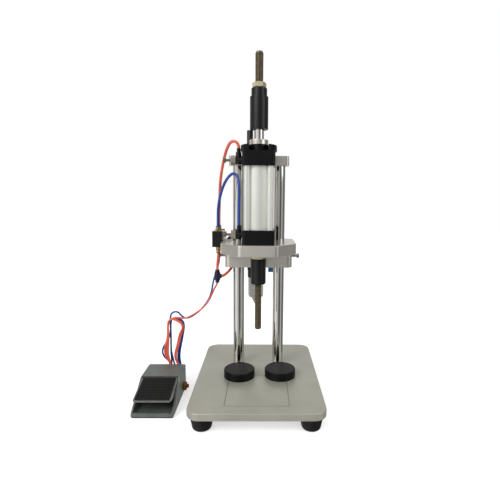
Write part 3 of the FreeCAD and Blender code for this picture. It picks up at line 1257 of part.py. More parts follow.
# Hose routes, chosen by hand from end to end
CONTROL_X = -CAP_SIZE / 2 - CONTROL_STANDOFF
FITTING_TOP = VALVE_TOP - 1 + FITTING_HEIGHT
HANK_SIDE = -168.0
FEED_ROUTE = fitted(
    [(-89.2, 55, 320), (-89.2, 55, 340), (-88, 50, 362), (-83, 43, 386), (-75, 34, 408), (-65, 26, 424),
     (-54, 18, 433), (-45, 11, 429), (-40.5, 6, 414), (-39.4, 2.5, 394), (-40.2, 0.6, 370), (-40.5, 0, 350),
     (-40.5, 0, 325.5)],
    (VALVE_X, VALVE_BODY_FRONT + FEED_PORT, FITTING_TOP), (CONTROL_X, 0, PLATE_TOP + LOWER_TUBE_TOP))
RETURN_ROUTE = fitted(
    [(-89.2, 77, 320), (-89.2, 77, 343), (-87, 68, 370), (-85, 57, 400), (-81, 43, 428), (-75, 29, 453),
     (-67.4, 16, 477), (-60, 7, 490.5), (-53, 2.6, 495), (-46, 0.6, 493.5), (-40.5, 0, 487.5), (-40.5, 0, 480)],
    (VALVE_X, VALVE_BODY_FRONT + RETURN_PORT, FITTING_TOP), (CONTROL_X, 0, UPPER_CAP_TOP + UPPER_TUBE_TOP))
SUPPLY_ROUTE = fitted(
    [(-89.2, 57, 263), (-89.2, 57, 251), (-91.7, 57, 234), (-91.7, 57, 222)],
    (VALVE_X, SUPPLY_Y, FITTING_BOTTOM), (TEE_X, SUPPLY_Y, TEE_TOP))
INLET_ROUTE = fitted(
    [(-82.2, 57, 209), (-72.5, 57, 209), (-65, 63, 213), (-61.5, 75, 218), (-61, 90, 222), (-60, 105, 225),
     (-57, 118, 226), (-49, 125.5, 226), (-41, 125.5, 226)],
    (TEE_X + TEE_BRANCH_LENGTH, SUPPLY_Y, TEE_BRANCH_HEIGHT),
    (FILTER_X - FILTER_BODY_SIZE / 2 - OUTLET_LENGTH, FILTER_Y, INLET_HEIGHT))
PILOT_SUPPLY_ROUTE = fitted(
    [(-91.7, 57, 196), (-91.7, 57, 184.5), (-98.2, 58.4, 171), (-107, 59.3, 156.5), (-118, 60, 142.5),
     (-131.5, 60, 129.5), (-148, 60, 118.8), (-168, 60, 109.7)],
    (TEE_X, SUPPLY_Y, TEE_BOTTOM), (HANK_SIDE, HANK_Y, 109.7))
PILOT_RETURN_ROUTE = fitted(
    [(-89.2, 80, 263), (-89.2, 80, 247), (-91.5, 78.5, 231), (-96, 74, 217), (-100, 69, 204), (-102.6, 65.2, 191),
     (-103.2, 62.9, 179), (-105, 62.9, 166.5), (-110.6, 63.7, 154), (-118, 64.6, 142), (-130.3, 64.4, 127.7),
     (-146.8, 63.6, 115.8), (-168, 62.4, 105.8)],
    (VALVE_X, PILOT_Y, FITTING_BOTTOM), (HANK_SIDE, HANK_Y + 2.4, 105.8))


os.makedirs("parts", exist_ok=True)

save("base_plate", base_plate())
save("rubber_feet", *[rubber_foot(x, y) for x, y in foot_places()])
save("frame_screws", *frame_screws())
save("column_left", column(-1))
save("column_right", column(1))
save("crossbar", crossbar())
save("locator_left", locator(-1, LOCATOR_LEFT_SWING))
save("locator_right", locator(1, LOCATOR_RIGHT_SWING))
save("clamp_bar", clamp_bar())
save("upper_plate", upper_plate())
save("head_screws", *head_screws())
save("lock_screw_left", lock_screw(-1))
save("lock_screw_right", lock_screw(1))
save("lower_cap", lower_cap())
save("barrel", barrel())
save("upper_cap", upper_cap())
save("tie_rods", *tie_rods())
save("rod_bushes", *rod_bushes())
save("cylinder_seals", *cylinder_seals())
save("end_disc", end_disc())
save("guide_post", guide_post())
save("bumper_ring", bumper_ring())
save("piston_rod", piston_rod())
save("piston", piston())
save("piston_seals", *piston_seals())
save("stroke_sleeve", stroke_sleeve())
save("stop_nut", hex_nut(SLEEVE_TOP, STOP_NUT_HEIGHT))
save("lower_nut", hex_nut(COUPLING_TOP, LOWER_NUT_HEIGHT))
save("coupling", coupling())
save("tool_stud", tool_stud())

upper_port = UPPER_CAP_TOP - UPPER_PORT_DROP
lower_port = PLATE_TOP + LOWER_PORT_RISE
upper_body, upper_nut = flow_control(upper_port, UPPER_CAP_TOP + UPPER_TUBE_TOP, UPPER_CAP_TOP - UPPER_TUBE_BOTTOM)
lower_body, lower_nut = flow_control(lower_port, PLATE_TOP + LOWER_TUBE_TOP, PLATE_TOP + LOWER_TUBE_BOTTOM)
save("flow_controls", upper_body, lower_body)
save("control_nuts", upper_nut, lower_nut)
save("needle_upper", needle(upper_port))
save("needle_lower", needle(lower_port))

save("valve_body", valve_body())
save("valve_caps", *valve_caps())
save("valve_spool", valve_spool())
save("push_fittings", *push_fittings())
save("inlet_elbow", inlet_elbow())
save("head_brackets", *head_brackets())
save("filter_body", filter_body())
save("filter_bowl", filter_bowl())
save("drain_valve", drain_valve())
save("regulator_knob", regulator_knob())
save("tee_piece", tee_piece())

save("feed_hose", hose("feed_hose", HOSE_RADIUS, FEED_ROUTE))
save("return_hose", hose("return_hose", HOSE_RADIUS, RETURN_ROUTE))
save("inlet_hose", hose("inlet_hose", HOSE_RADIUS, INLET_ROUTE))
save("supply_hose", hose("supply_hose", HOSE_RADIUS, SUPPLY_ROUTE))
hank = hose_hank()
save("pilot_hose_orange", hose("pilot_hose_orange", PILOT_HOSE_RADIUS, PILOT_SUPPLY_ROUTE).cut(hank))
save("pilot_hose_blue", hose("pilot_hose_blue", PILOT_HOSE_RADIUS, PILOT_RETURN_ROUTE).cut(hank))
save("hose_hank", hank)

save("pedal_casting", pedal_casting())
save("pedal_sole", pedal_sole())
save("pedal_plate", pedal_plate())
save("pedal_pad", pedal_pad())
save("pedal_pin", pedal_pin())
save("pedal_spring", pedal_spring())
save("pedal_spool", pedal_spool())
save("pedal_fittings", *pedal_fittings())
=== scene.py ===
import math

import bmesh
import bpy
from mathutils import Matrix, Vector


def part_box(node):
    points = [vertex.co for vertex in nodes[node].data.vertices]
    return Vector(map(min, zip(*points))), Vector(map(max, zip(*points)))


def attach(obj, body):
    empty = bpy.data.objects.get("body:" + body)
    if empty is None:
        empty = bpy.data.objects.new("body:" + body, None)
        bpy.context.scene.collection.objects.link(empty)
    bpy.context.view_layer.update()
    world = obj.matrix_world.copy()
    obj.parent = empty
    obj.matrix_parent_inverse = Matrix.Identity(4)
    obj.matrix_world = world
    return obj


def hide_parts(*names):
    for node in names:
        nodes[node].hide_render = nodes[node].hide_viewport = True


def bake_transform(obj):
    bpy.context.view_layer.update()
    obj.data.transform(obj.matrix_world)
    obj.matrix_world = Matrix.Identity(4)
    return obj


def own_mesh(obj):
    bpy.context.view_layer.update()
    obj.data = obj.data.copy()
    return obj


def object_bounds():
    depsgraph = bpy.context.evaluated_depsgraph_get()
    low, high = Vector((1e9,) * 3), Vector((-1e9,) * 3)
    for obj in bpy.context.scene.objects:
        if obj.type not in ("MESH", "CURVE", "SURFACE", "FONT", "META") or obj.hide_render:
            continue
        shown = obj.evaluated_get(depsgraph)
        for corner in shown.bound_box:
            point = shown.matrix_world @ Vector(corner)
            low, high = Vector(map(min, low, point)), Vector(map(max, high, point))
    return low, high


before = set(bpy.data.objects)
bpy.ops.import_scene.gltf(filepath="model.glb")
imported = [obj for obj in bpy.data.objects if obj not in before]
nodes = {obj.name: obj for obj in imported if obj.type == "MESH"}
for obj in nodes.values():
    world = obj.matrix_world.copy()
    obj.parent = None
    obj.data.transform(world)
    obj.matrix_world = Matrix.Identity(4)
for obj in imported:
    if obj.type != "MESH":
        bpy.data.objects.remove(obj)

cad_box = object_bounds()
scene = bpy.context.scene
scene.view_settings.view_transform = "Standard"

# Camera
# It stands close in front of the machine, a little above its middle, and looks slightly down. The lens is
# wide because the machine fills the picture from less than a metre away.
camera_data = bpy.data.cameras.new("camera")
camera_data.lens = 28.114
camera_data.sensor_width = 36.0
camera_data.shift_x = -0.0374
camera_data.clip_start = 0.01
camera = bpy.data.objects.new("camera", camera_data)
camera.matrix_world = (Matrix.Translation((0.00822, -0.80145, 0.38267))
                       @ Matrix.Rotation(math.radians(-0.943), 4, "Z")
                       @ Matrix.Rotation(math.radians(82.411), 4, "X")
                       @ Matrix.Rotation(math.radians(0.528), 4, "Z"))
scene.collection.objects.link(camera)
scene.camera = camera

# Pilot hoses of the foot pedal
# Two 4 mm polyurethane hoses, an orange one from the tee and a blue one from the valve. They run side by
# side to the pedal, and their spare length stands behind it as a hank of tall turns that leans on the hose
# tails.
PILOT_HOSE_RADIUS = 0.002


def shade(red, green, blue):
    """A colour given as a picture shows it, 0 to 255, turned into the light that it reflects."""
    return tuple((value / 255 / 12.92) if value <= 10 else ((value / 255 + 0.055) / 1.055) ** 2.4
                 for value in (red, green, blue))


def surface_marks_group():
    """Fine grain and broad unevenness of a surface, both as values around one half."""
    group = bpy.data.node_groups.new("surface_marks", "ShaderNodeTree")
    for name, kind in (("Place", "NodeSocketVector"), ("Stretch", "NodeSocketVector"),
                       ("Grain Scale", "NodeSocketFloat"), ("Broad Scale", "NodeSocketFloat")):
        group.interface.new_socket(name, in_out="INPUT", socket_type=kind)
    group.interface.new_socket("Grain", in_out="OUTPUT", socket_type="NodeSocketFloat")
    group.interface.new_socket("Broad", in_out="OUTPUT", socket_type="NodeSocketFloat")
    entry = group.nodes.new("NodeGroupInput")
    leave = group.nodes.new("NodeGroupOutput")
    stretched = group.nodes.new("ShaderNodeVectorMath")
    stretched.operation = "MULTIPLY"
    grain = group.nodes.new("ShaderNodeTexNoise")
    grain.inputs["Detail"].default_value = 4.0
    broad = group.nodes.new("ShaderNodeTexNoise")
    broad.inputs["Detail"].default_value = 3.0
    link = group.links.new
    link(entry.outputs["Place"], stretched.inputs[0])
    link(entry.outputs["Stretch"], stretched.inputs[1])
    link(stretched.outputs["Vector"], grain.inputs["Vector"])
    link(entry.outputs["Grain Scale"], grain.inputs["Scale"])
    link(entry.outputs["Place"], broad.inputs["Vector"])
    link(entry.outputs["Broad Scale"], broad.inputs["Scale"])
    link(grain.outputs["Fac"], leave.inputs["Grain"])
    link(broad.outputs["Fac"], leave.inputs["Broad"])
    return group


def edge_wear_highlight_group():
    """A mask of the sharp edges of a piece, broken up by the broad marks: partly wear, partly a painted
    highlight.
    """
    group = bpy.data.node_groups.new("edge_wear_highlight", "ShaderNodeTree")
    group.interface.new_socket("Width", in_out="INPUT", socket_type="NodeSocketFloat")
    group.interface.new_socket("Broken By", in_out="INPUT", socket_type="NodeSocketFloat")
    group.interface.new_socket("Mask", in_out="OUTPUT", socket_type="NodeSocketFloat")
    entry = group.nodes.new("NodeGroupInput")
    leave = group.nodes.new("NodeGroupOutput")
    rounded = group.nodes.new("ShaderNodeBevel")
    rounded.samples = 4
    true = group.nodes.new("ShaderNodeNewGeometry")
    same = group.nodes.new("ShaderNodeVectorMath")
    same.operation = "DOT_PRODUCT"
    edge = group.nodes.new("ShaderNodeMapRange")
    edge.inputs["From Min"].default_value = 0.995
    edge.inputs["From Max"].default_value = 0.80
    broken = group.nodes.new("ShaderNodeMapRange")
    broken.inputs["From Min"].default_value = 0.42
    broken.inputs["From Max"].default_value = 0.62
    mask = group.nodes.new("ShaderNodeMath")
    mask.operation = "MULTIPLY"
    link = group.links.new
    link(entry.outputs["Width"], rounded.inputs["Radius"])
    link(rounded.outputs["Normal"], same.inputs[0])
    link(true.outputs["Normal"], same.inputs[1])
    link(same.outputs["Value"], edge.inputs["Value"])
    link(entry.outputs["Broken By"], broken.inputs["Value"])
    link(edge.outputs["Result"], mask.inputs[0])
    link(broken.outputs["Result"], mask.inputs[1])
    link(mask.outputs["Value"], leave.inputs["Mask"])
    return group


surface_marks = surface_marks_group()
edge_wear_highlight = edge_wear_highlight_group()


def finish(name, dark, light, roughness, metallic=0.0, grain=900.0, broad=30.0, stretch=(1, 1, 1), depth=0.01,
           uneven=0.15, coat=0.0, specular=0.5, wear_and_highlight=None, edge_width=0.0004):
    """A finish whose colour runs from dark to light with the broad marks, and whose gloss varies."""
    material = bpy.data.materials.new(name)
    material.use_nodes = True
    tree = material.node_tree
    link = tree.links.new
    shader = tree.nodes["Principled BSDF"]
    shader.inputs["Metallic"].default_value = metallic
    shader.inputs["Coat Weight"].default_value = coat
    shader.inputs["Coat Roughness"].default_value = 0.12
    shader.inputs["Specular IOR Level"].default_value = specular
    place = tree.nodes.new("ShaderNodeTexCoord")
    marks = tree.nodes.new("ShaderNodeGroup")
    marks.name = "marks"
    marks.node_tree = surface_marks
    marks.inputs["Stretch"].default_value = stretch
    marks.inputs["Grain Scale"].default_value = grain
    marks.inputs["Broad Scale"].default_value = broad
    colour = tree.nodes.new("ShaderNodeValToRGB")
    colour.name = "colour"
    colour.color_ramp.elements[0].position = 0.3
    colour.color_ramp.elements[0].color = (*dark, 1)
    colour.color_ramp.elements[1].position = 0.7
    colour.color_ramp.elements[1].color = (*light, 1)
    gloss = tree.nodes.new("ShaderNodeMapRange")
    gloss.inputs["From Min"].default_value = 0.3
    gloss.inputs["From Max"].default_value = 0.7
    gloss.inputs["To Min"].default_value = max(roughness * (1 - uneven), 0.01)
    gloss.inputs["To Max"].default_value = min(roughness * (1 + uneven), 1.0)
    bump = tree.nodes.new("ShaderNodeBump")
    bump.inputs["Strength"].default_value = 1.0
    bump.inputs["Distance"].default_value = depth * 0.001
    link(place.outputs["Object"], marks.inputs["Place"])
    link(marks.outputs["Broad"], colour.inputs["Fac"])
    link(colour.outputs["Color"], shader.inputs["Base Color"])
    link(marks.outputs["Grain"], gloss.inputs["Value"])
    link(gloss.outputs["Result"], shader.inputs["Roughness"])
    link(marks.outputs["Grain"], bump.inputs["Height"])
    link(bump.outputs["Normal"], shader.inputs["Normal"])
    # Lighter edges, partly wear and partly a painted highlight along the edges.
    if wear_and_highlight:
        edges = tree.nodes.new("ShaderNodeGroup")
        edges.node_tree = edge_wear_highlight
        edges.inputs["Width"].default_value = edge_width
        link(marks.outputs["Broad"], edges.inputs["Broken By"])
        tint(material, edges.outputs["Mask"], wear_and_highlight)
    return material


def tint(material, mask, colour):
    """Lay another colour over the base colour where a mask says so."""
    tree = material.node_tree
    shader = tree.nodes["Principled BSDF"]
    below = shader.inputs["Base Color"].links[0].from_socket
    mix = tree.nodes.new("ShaderNodeMix")
    mix.data_type = "RGBA"
    mix.inputs[7].default_value = (*colour, 1)
    tree.links.new(mask, mix.inputs[0])
    tree.links.new(below, mix.inputs[6])
    tree.links.new(mix.outputs[2], shader.inputs["Base Color"])


def paint(material, *names):
    """Give CAD nodes their finish."""
    for name in names:
        slots = nodes[name].data.materials
        slots.clear()
        slots.append(material)


orange_hose = finish("orange_hose", shade(222, 88, 62), shade(238, 108, 80), 0.3, grain=500, broad=60,
                     coat=0.25)
blue_hose = finish("blue_hose", shade(22, 58, 140), shade(30, 76, 168), 0.3, grain=500, broad=60, coat=0.25)

FOLD_RADIUS = 0.012
FOLD_STEP = 30
ORANGE_ROUTE = [
    (-0.0917, 0.057, 0.196), (-0.0926, 0.0571, 0.1905), (-0.0966, 0.0578, 0.1840), (-0.1004, 0.0585, 0.1770),
    (-0.1044, 0.0593, 0.1670), (-0.1092, 0.060, 0.1562), (-0.1165, 0.060, 0.1448), (-0.1250, 0.060, 0.1353),
    (-0.1345, 0.060, 0.1273), (-0.148, 0.060, 0.1183), (-0.160, 0.060, 0.1120), (-0.1705, 0.0602, 0.1098),
    (-0.1815, 0.0604, 0.1118)]
BLUE_ROUTE = [
    (-0.0892, 0.080, 0.263), (-0.0892, 0.080, 0.247), (-0.0915, 0.0785, 0.231), (-0.096, 0.074, 0.217),
    (-0.100, 0.069, 0.204), (-0.1028, 0.0652, 0.191), (-0.1045, 0.0632, 0.179), (-0.1070, 0.0632, 0.1680),
    (-0.1115, 0.0640, 0.1560), (-0.1185, 0.0642, 0.1442), (-0.1310, 0.0642, 0.1290),
    (-0.1468, 0.0642, 0.1160), (-0.1570, 0.0643, 0.1105), (-0.1660, 0.0645, 0.1090),
    (-0.1730, 0.0645, 0.1130), (-0.1790, 0.0645, 0.1190)]
ORANGE_TOP_LEFT = (-0.1915, 0.0985)
ORANGE_TOP_RIGHT = (-0.1830, 0.0925)
BLUE_HUMP = (-0.1880, 0.1120)
BLUE_TOP_LEFT = (-0.1890, 0.0960)
BLUE_TOP_RIGHT = (-0.1837, 0.0920)
BOTTOM_FOLD = (-0.1905, -0.0284)
ORANGE_LOOSE_LEG = [(-0.2056, 0.086), (-0.2066, 0.070), (-0.2092, 0.055), (-0.2135, 0.042), (-0.2143, 0.030),
                    (-0.2115, 0.018), (-0.2050, 0.008), (-0.2012, -0.004), (-0.2020, -0.016)]
ORANGE_LEFT_LEG = [(-0.2040, 0.086), (-0.2034, 0.070), (-0.2044, 0.052), (-0.2058, 0.036), (-0.2045, 0.020),
                   (-0.2000, 0.007), (-0.2008, -0.006), (-0.2028, -0.017)]
ORANGE_LAST_LEG = [(-0.2052, 0.086), (-0.2054, 0.070), (-0.2078, 0.052), (-0.2098, 0.037), (-0.2078, 0.021)]
BLUE_LOOSE_LEG = [(-0.2010, 0.100), (-0.2002, 0.086), (-0.2012, 0.073), (-0.2058, 0.060), (-0.2130, 0.048),
                  (-0.2192, 0.038), (-0.2208, 0.027), (-0.2165, 0.016), (-0.2085, 0.009), (-0.2025, 0.000),
                  (-0.2020, -0.014)]
BLUE_LEFT_LEG = [(-0.2004, 0.082), (-0.1998, 0.062), (-0.2004, 0.042), (-0.2006, 0.024), (-0.1992, 0.008),
                 (-0.2005, -0.010)]
BLUE_LAST_LEG = [(-0.2014, 0.082), (-0.2010, 0.062), (-0.2016, 0.042), (-0.2012, 0.026)]
ORANGE_RIGHT_LEG = [(-0.1787, -0.016), (-0.1822, -0.004), (-0.1880, 0.007), (-0.1915, 0.018),
                    (-0.1908, 0.030), (-0.1866, 0.044), (-0.1832, 0.058), (-0.1806, 0.070),
                    (-0.1768, 0.080), (-0.1728, 0.087)]
BLUE_RIGHT_LEG = [(-0.1790, -0.014), (-0.1822, 0.002), (-0.1838, 0.018), (-0.1816, 0.034), (-0.1778, 0.052),
                  (-0.1745, 0.070), (-0.1722, 0.082)]
ORANGE_END = [
    (-0.2008, 0.0564, 0.008), (-0.1978, 0.0586, -0.001), (-0.1966, 0.0598, -0.008), (-0.1968, 0.0575, -0.014),
    (-0.1970, 0.0530, -0.0162), (-0.1970, 0.0470, -0.0160)]
BLUE_END = [
    (-0.1990, 0.0725, 0.012), (-0.1960, 0.0710, 0.000), (-0.1912, 0.0660, -0.010), (-0.1880, 0.0590, -0.0158),
    (-0.1870, 0.0525, -0.0165), (-0.1870, 0.0470, -0.0160)]


def bend(middle, start, end):
    """Points of a round fold about its middle, from one angle to another."""
    steps = max(round(abs(end - start) / FOLD_STEP), 1)
    reach = FOLD_RADIUS / math.cos(math.radians(abs(end - start) / steps / 2))
    angles = [math.radians(start + (end - start) * step / steps) for step in range(steps + 1)]
    return [(middle[0] + reach * math.cos(angle), middle[1] + reach * math.sin(angle)) for angle in angles]


def at_depth(points, first, last, shift=0.0):
    """Points of a leg or a fold, with their depth running from first to last, moved sideways by shift."""
    steps = max(len(points) - 1, 1)
    return [(x + shift, first + (last - first) * step / steps, z) for step, (x, z) in enumerate(points)]


bottom = bend(BOTTOM_FOLD, 180, 360)
orange_top = bend(ORANGE_TOP_RIGHT, 0, 65) + bend(ORANGE_TOP_LEFT, 90, 180)
blue_top = bend(BLUE_TOP_RIGHT, 0, 90) + bend(BLUE_TOP_LEFT, 90, 180)
orange_points = (ORANGE_ROUTE
                 + at_depth(bend(ORANGE_TOP_LEFT, 90, 180) + ORANGE_LOOSE_LEG + bottom, 0.0604, 0.0600)
                 + at_depth(ORANGE_RIGHT_LEG, 0.0600, 0.0522, 0.0012) + at_depth(orange_top, 0.0522, 0.0522)
                 + at_depth(ORANGE_LEFT_LEG + bottom, 0.0522, 0.0524, 0.0010)
                 + at_depth(ORANGE_RIGHT_LEG, 0.0528, 0.0563, 0.0042) + at_depth(orange_top, 0.0563, 0.0563)
                 + at_depth(ORANGE_LAST_LEG, 0.0563, 0.0563) + ORANGE_END)
blue_points = (BLUE_ROUTE + at_depth(bend(BLUE_HUMP, 55, 180) + BLUE_LOOSE_LEG + bottom, 0.0645, 0.0650)
               + at_depth(BLUE_RIGHT_LEG, 0.0653, 0.0686, -0.0018) + at_depth(blue_top, 0.0686, 0.0686)
               + at_depth(BLUE_LEFT_LEG + bottom, 0.0686, 0.0692, -0.0012)
               + at_depth(BLUE_RIGHT_LEG, 0.0695, 0.0728, 0.0010) + at_depth(blue_top, 0.0728, 0.0728)
               + at_depth(BLUE_LAST_LEG, 0.0728, 0.0728, -0.0008) + BLUE_END)


def piece(name, shape, material, body=None, replaced=()):
    """Turn a bmesh into a finished piece, which rides on a body and may stand for CAD nodes."""
    mesh = bpy.data.meshes.new(name)
    shape.to_mesh(mesh)
    shape.free()
    mesh.materials.append(material)
    made = bpy.data.objects.new(name, mesh)
    scene.collection.objects.link(made)
    if body:
        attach(made, body)
    if replaced:
        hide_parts(*replaced)
    return made


def hose_line(name, points):
    """The smooth curve of a hose's route."""
    curve = bpy.data.curves.new(name, "CURVE")
    curve.dimensions = "3D"
    curve.resolution_u = 6
    spline = curve.splines.new("NURBS")
    spline.points.add(len(points) - 1)
    for point, place in zip(spline.points, points):
        point.co = (*place, 1.0)
    spline.order_u = 3
    spline.use_endpoint_u = True
    return curve


def laid_hose(name, points, radius, material, body=None, replaced=()):
    """A hose as a closed tube along its route, and the line that it follows."""
    curve = hose_line(name, points)
    holder = bpy.data.objects.new(name + "_line", curve)
    line = [tuple(vertex.co) for vertex in bpy.data.meshes.new_from_object(holder).vertices]
    curve.bevel_depth = radius
    curve.bevel_resolution = 5
    curve.use_fill_caps = True
    tube = bmesh.new()
    tube.from_mesh(bpy.data.meshes.new_from_object(holder))
    bpy.data.objects.remove(holder)
    bmesh.ops.remove_doubles(tube, verts=tube.verts, dist=1e-6)
    bmesh.ops.recalc_face_normals(tube, faces=tube.faces)
    for face in tube.faces:
        face.smooth = len(face.verts) == 4
    return piece(name, tube, material, body, replaced), line


orange_pilot, orange_line = laid_hose("orange_pilot_hose", orange_points, PILOT_HOSE_RADIUS, orange_hose)
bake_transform(orange_pilot)
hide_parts("pilot_hose_orange", "hose_hank")
blue_pilot, blue_line = laid_hose("blue_pilot_hose", blue_points, PILOT_HOSE_RADIUS, blue_hose)
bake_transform(blue_pilot)
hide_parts("pilot_hose_blue")

# Base plate
# A thick aluminium plate with a satin coat the colour of warm grey, its edges lightened partly as wear and
# partly as a painted highlight. A thin rectangle is engraved in its top, in front of the locators, and a
# painted shade darkens its groove.
LINE_HALF_WIDTH = 0.061
LINE_MIDDLE_Y = -0.058
LINE_HALF_DEPTH = 0.064
LINE_THICK = 0.00055
base_coat = finish("base_coat", shade(166, 165, 152), shade(177, 176, 163), 0.36, metallic=0.3, grain=700,
                   broad=14, stretch=(0.03, 1, 1), depth=0.006, wear_and_highlight=shade(205, 205, 198))


def groove_shade_mask(material):
    """A mask of the engraved rectangle, from the place on the plate, for the painted shade in its groove."""
    tree = material.node_tree
    link = tree.links.new
    place = tree.nodes.new("ShaderNodeTexCoord")
    axes = tree.nodes.new("ShaderNodeSeparateXYZ")
    link(place.outputs["Object"], axes.inputs["Vector"])

    def worked_out(operation, first, second):
        node = tree.nodes.new("ShaderNodeMath")
        node.operation = operation
        for socket, value in zip(node.inputs, (first, second)):
            if isinstance(value, float):
                socket.default_value = value
            elif value is not None:
                link(value, socket)
        return node.outputs["Value"]

    across = worked_out("SUBTRACT", worked_out("ABSOLUTE", axes.outputs["X"], None), LINE_HALF_WIDTH)
    along = worked_out("ABSOLUTE", worked_out("SUBTRACT", axes.outputs["Y"], LINE_MIDDLE_Y), None)
    outside = worked_out("MAXIMUM", across, worked_out("SUBTRACT", along, LINE_HALF_DEPTH))
    return worked_out("LESS_THAN", worked_out("ABSOLUTE", outside, None), LINE_THICK)


# Painted shade: the engraved groove is darkened in the colour.
tint(base_coat, groove_shade_mask(base_coat), shade(136, 135, 125))
paint(base_coat, "base_plate")

# Rubber feet
# Four moulded feet of black rubber, wide at the top and rounded at the bottom, each held by a screw from
# above.
black_rubber = finish("black_rubber", shade(12, 12, 12), shade(20, 20, 20), 0.55, grain=1400, broad=80,
                      depth=0.02, specular=0.3)
paint(black_rubber, "rubber_feet")

# Frame screws
# Black socket screws hold the feet, columns, locators and crossbar. The heads that show are oiled, and their
# lighter edges are partly wear and partly a painted highlight.
oiled_steel = finish("oiled_steel", shade(34, 34, 35), shade(52, 51, 50), 0.36, metallic=0.7, grain=1200,
                     broad=200, depth=0.008, wear_and_highlight=shade(130, 128, 122), edge_width=0.0003)
paint(oiled_steel, "frame_screws", "head_screws")

# Columns
# Ground bars with hard chrome. They mirror the room as upright stripes, with the faint rings that grinding
# leaves.
hard_chrome = finish("hard_chrome", shade(214, 212, 207), shade(226, 224, 219), 0.09, metallic=1.0,
                     grain=600, broad=20, stretch=(1, 1, 12), depth=0.0008, uneven=0.35)
paint(hard_chrome, "column_left", "column_right")

# Crossbar, clamp bar, upper plate and brackets
# Milled aluminium, blasted and clear anodised. It has a soft sheen, a fine grain and bright edges that are
# partly broken and partly a painted highlight.
blasted_aluminium = finish("blasted_aluminium", shade(206, 202, 193), shade(218, 214, 205), 0.24,
                           metallic=0.75, grain=2200, broad=24, depth=0.012, wear_and_highlight=shade(236, 234, 230))
paint(blasted_aluminium, "crossbar", "clamp_bar", "upper_plate", "head_brackets")

# Locator discs
# Two turned discs of black acetal with a rounded rim, which the bottle stands against.
black_acetal = finish("black_acetal", shade(11, 11, 11), shade(19, 19, 18), 0.34, grain=1800, broad=40,
                      depth=0.01, specular=0.12, wear_and_highlight=shade(40, 40, 38))
paint(black_acetal, "locator_left", "locator_right")

# Lock screws of the head
# Plain steel screws at both ends of the clamp bar, turned by hand or with a key.
plain_steel = finish("plain_steel", shade(158, 156, 150), shade(186, 184, 178), 0.28, metallic=1.0,
                     grain=900, broad=120, stretch=(10, 1, 1), depth=0.004, uneven=0.3)
paint(plain_steel, "lock_screw_left", "lock_screw_right")

# Air cylinder
# The end covers are black anodised blocks, and the barrel is a satin aluminium profile. Four chromed tie
# rods run in it. The seals, bushes and piston are inside.
black_anodised = finish("black_anodised", shade(11, 11, 12), shade(17, 17, 18), 0.30, grain=2400, broad=30,
                        depth=0.006, specular=0.2, wear_and_highlight=shade(64, 64, 62), edge_width=0.0003)
barrel_aluminium = finish("barrel_aluminium", shade(214, 216, 208), shade(224, 226, 218), 0.42,
                          metallic=0.45, grain=1800, broad=12, depth=0.003, uneven=0.2)
inner_bronze = finish("inner_bronze", shade(150, 110, 60), shade(176, 134, 80), 0.4, metallic=0.9, broad=80)
paint(black_anodised, "lower_cap", "upper_cap")
paint(barrel_aluminium, "barrel")
paint(plain_steel, "tie_rods")
paint(inner_bronze, "rod_bushes")
paint(black_rubber, "cylinder_seals", "piston_seals")
paint(blasted_aluminium, "piston")

# Disc, post and bumper ring
# A black disc hugs the neck of the upper cover, a dark steel post stands on it, and the bright ring on the
# neck is what the stop sleeve lands on.
dark_steel = finish("dark_steel", shade(62, 62, 62), shade(82, 82, 81), 0.30, metallic=0.8, grain=900,
                    broad=60, stretch=(1, 1, 8), depth=0.006, wear_and_highlight=shade(120, 120, 118))
paint(black_anodised, "end_disc")
paint(dark_steel, "guide_post")
paint(blasted_aluminium, "bumper_ring")

# Piston rod
# A chromed bar that passes right through the cylinder. Its upper end is cut with a thread of 2 mm pitch,
# left in dark steel, and the stop nut and sleeve sit on it.
ROD_RADIUS = 0.010
ROD_THREAD_RADIUS = 0.008
ROD_THREAD_PITCH = 0.002
ROD_LOW = 0.2361
ROD_SHOULDER_LOW = 0.2666
ROD_SHOULDER_HIGH = 0.539
ROD_TOP = 0.664
THREAD_STEPS = 28
THREAD_DEPTH_SHARE = 0.6
bronzed_steel = finish("bronzed_steel", shade(112, 100, 84), shade(136, 124, 104), 0.42, metallic=0.7,
                       grain=900, broad=160, depth=0.01, uneven=0.3)


def turned(outline, middle=(0.0, 0.0), steps=64):
    """A piece turned on a lathe: its outline of radius and height, spun about an upright axis."""
    shape = bmesh.new()
    chain = [shape.verts.new((middle[0] + radius, middle[1], height)) for radius, height in outline]
    edges = [shape.edges.new(pair) for pair in zip(chain, chain[1:])]
    bmesh.ops.spin(shape, geom=chain + edges, cent=(*middle, 0), axis=(0, 0, 1), angle=math.tau, steps=steps,
                   use_merge=True)
    bmesh.ops.remove_doubles(shape, verts=shape.verts, dist=1e-6)
    bmesh.ops.recalc_face_normals(shape, faces=shape.faces)
    return shape


def soften(shape, angle=35):
    """Smooth the round faces and keep the edges that are sharper than the angle."""
    for face in shape.faces:
        face.smooth = True
    for edge in shape.edges:
        edge.smooth = len(edge.link_faces) == 2 and edge.calc_face_angle(math.pi) < math.radians(angle)
    return shape


def thread_ridge(shape, radius, pitch, low, high):
    """Wind a thread's ridge round the axis, from low to high, into a shape."""
    root = radius - THREAD_DEPTH_SHARE * pitch
    section = [(root - pitch / 4, 0), (root, 0), (radius, pitch * 0.4), (radius, pitch * 0.52),
               (root, pitch * 0.92), (root - pitch / 4, pitch * 0.92)]
    corners = [shape.verts.new((distance, 0, low + height)) for distance, height in section]
    start = shape.faces.new(corners)
    turns = int((high - low - pitch) / pitch)
    bmesh.ops.spin(shape, geom=[start, *start.edges, *corners], cent=(0, 0, 0), axis=(0, 0, 1),
                   angle=math.tau * turns, steps=THREAD_STEPS * turns, dvec=(0, 0, pitch / THREAD_STEPS))


def threaded_bar(outline, radius, pitch, low, high):
    """A turned bar with a thread cut on it from low to high."""
    bar = turned(outline)
    thread_ridge(bar, radius, pitch, low, high)
    bmesh.ops.recalc_face_normals(bar, faces=bar.faces)
    return soften(bar, 30)


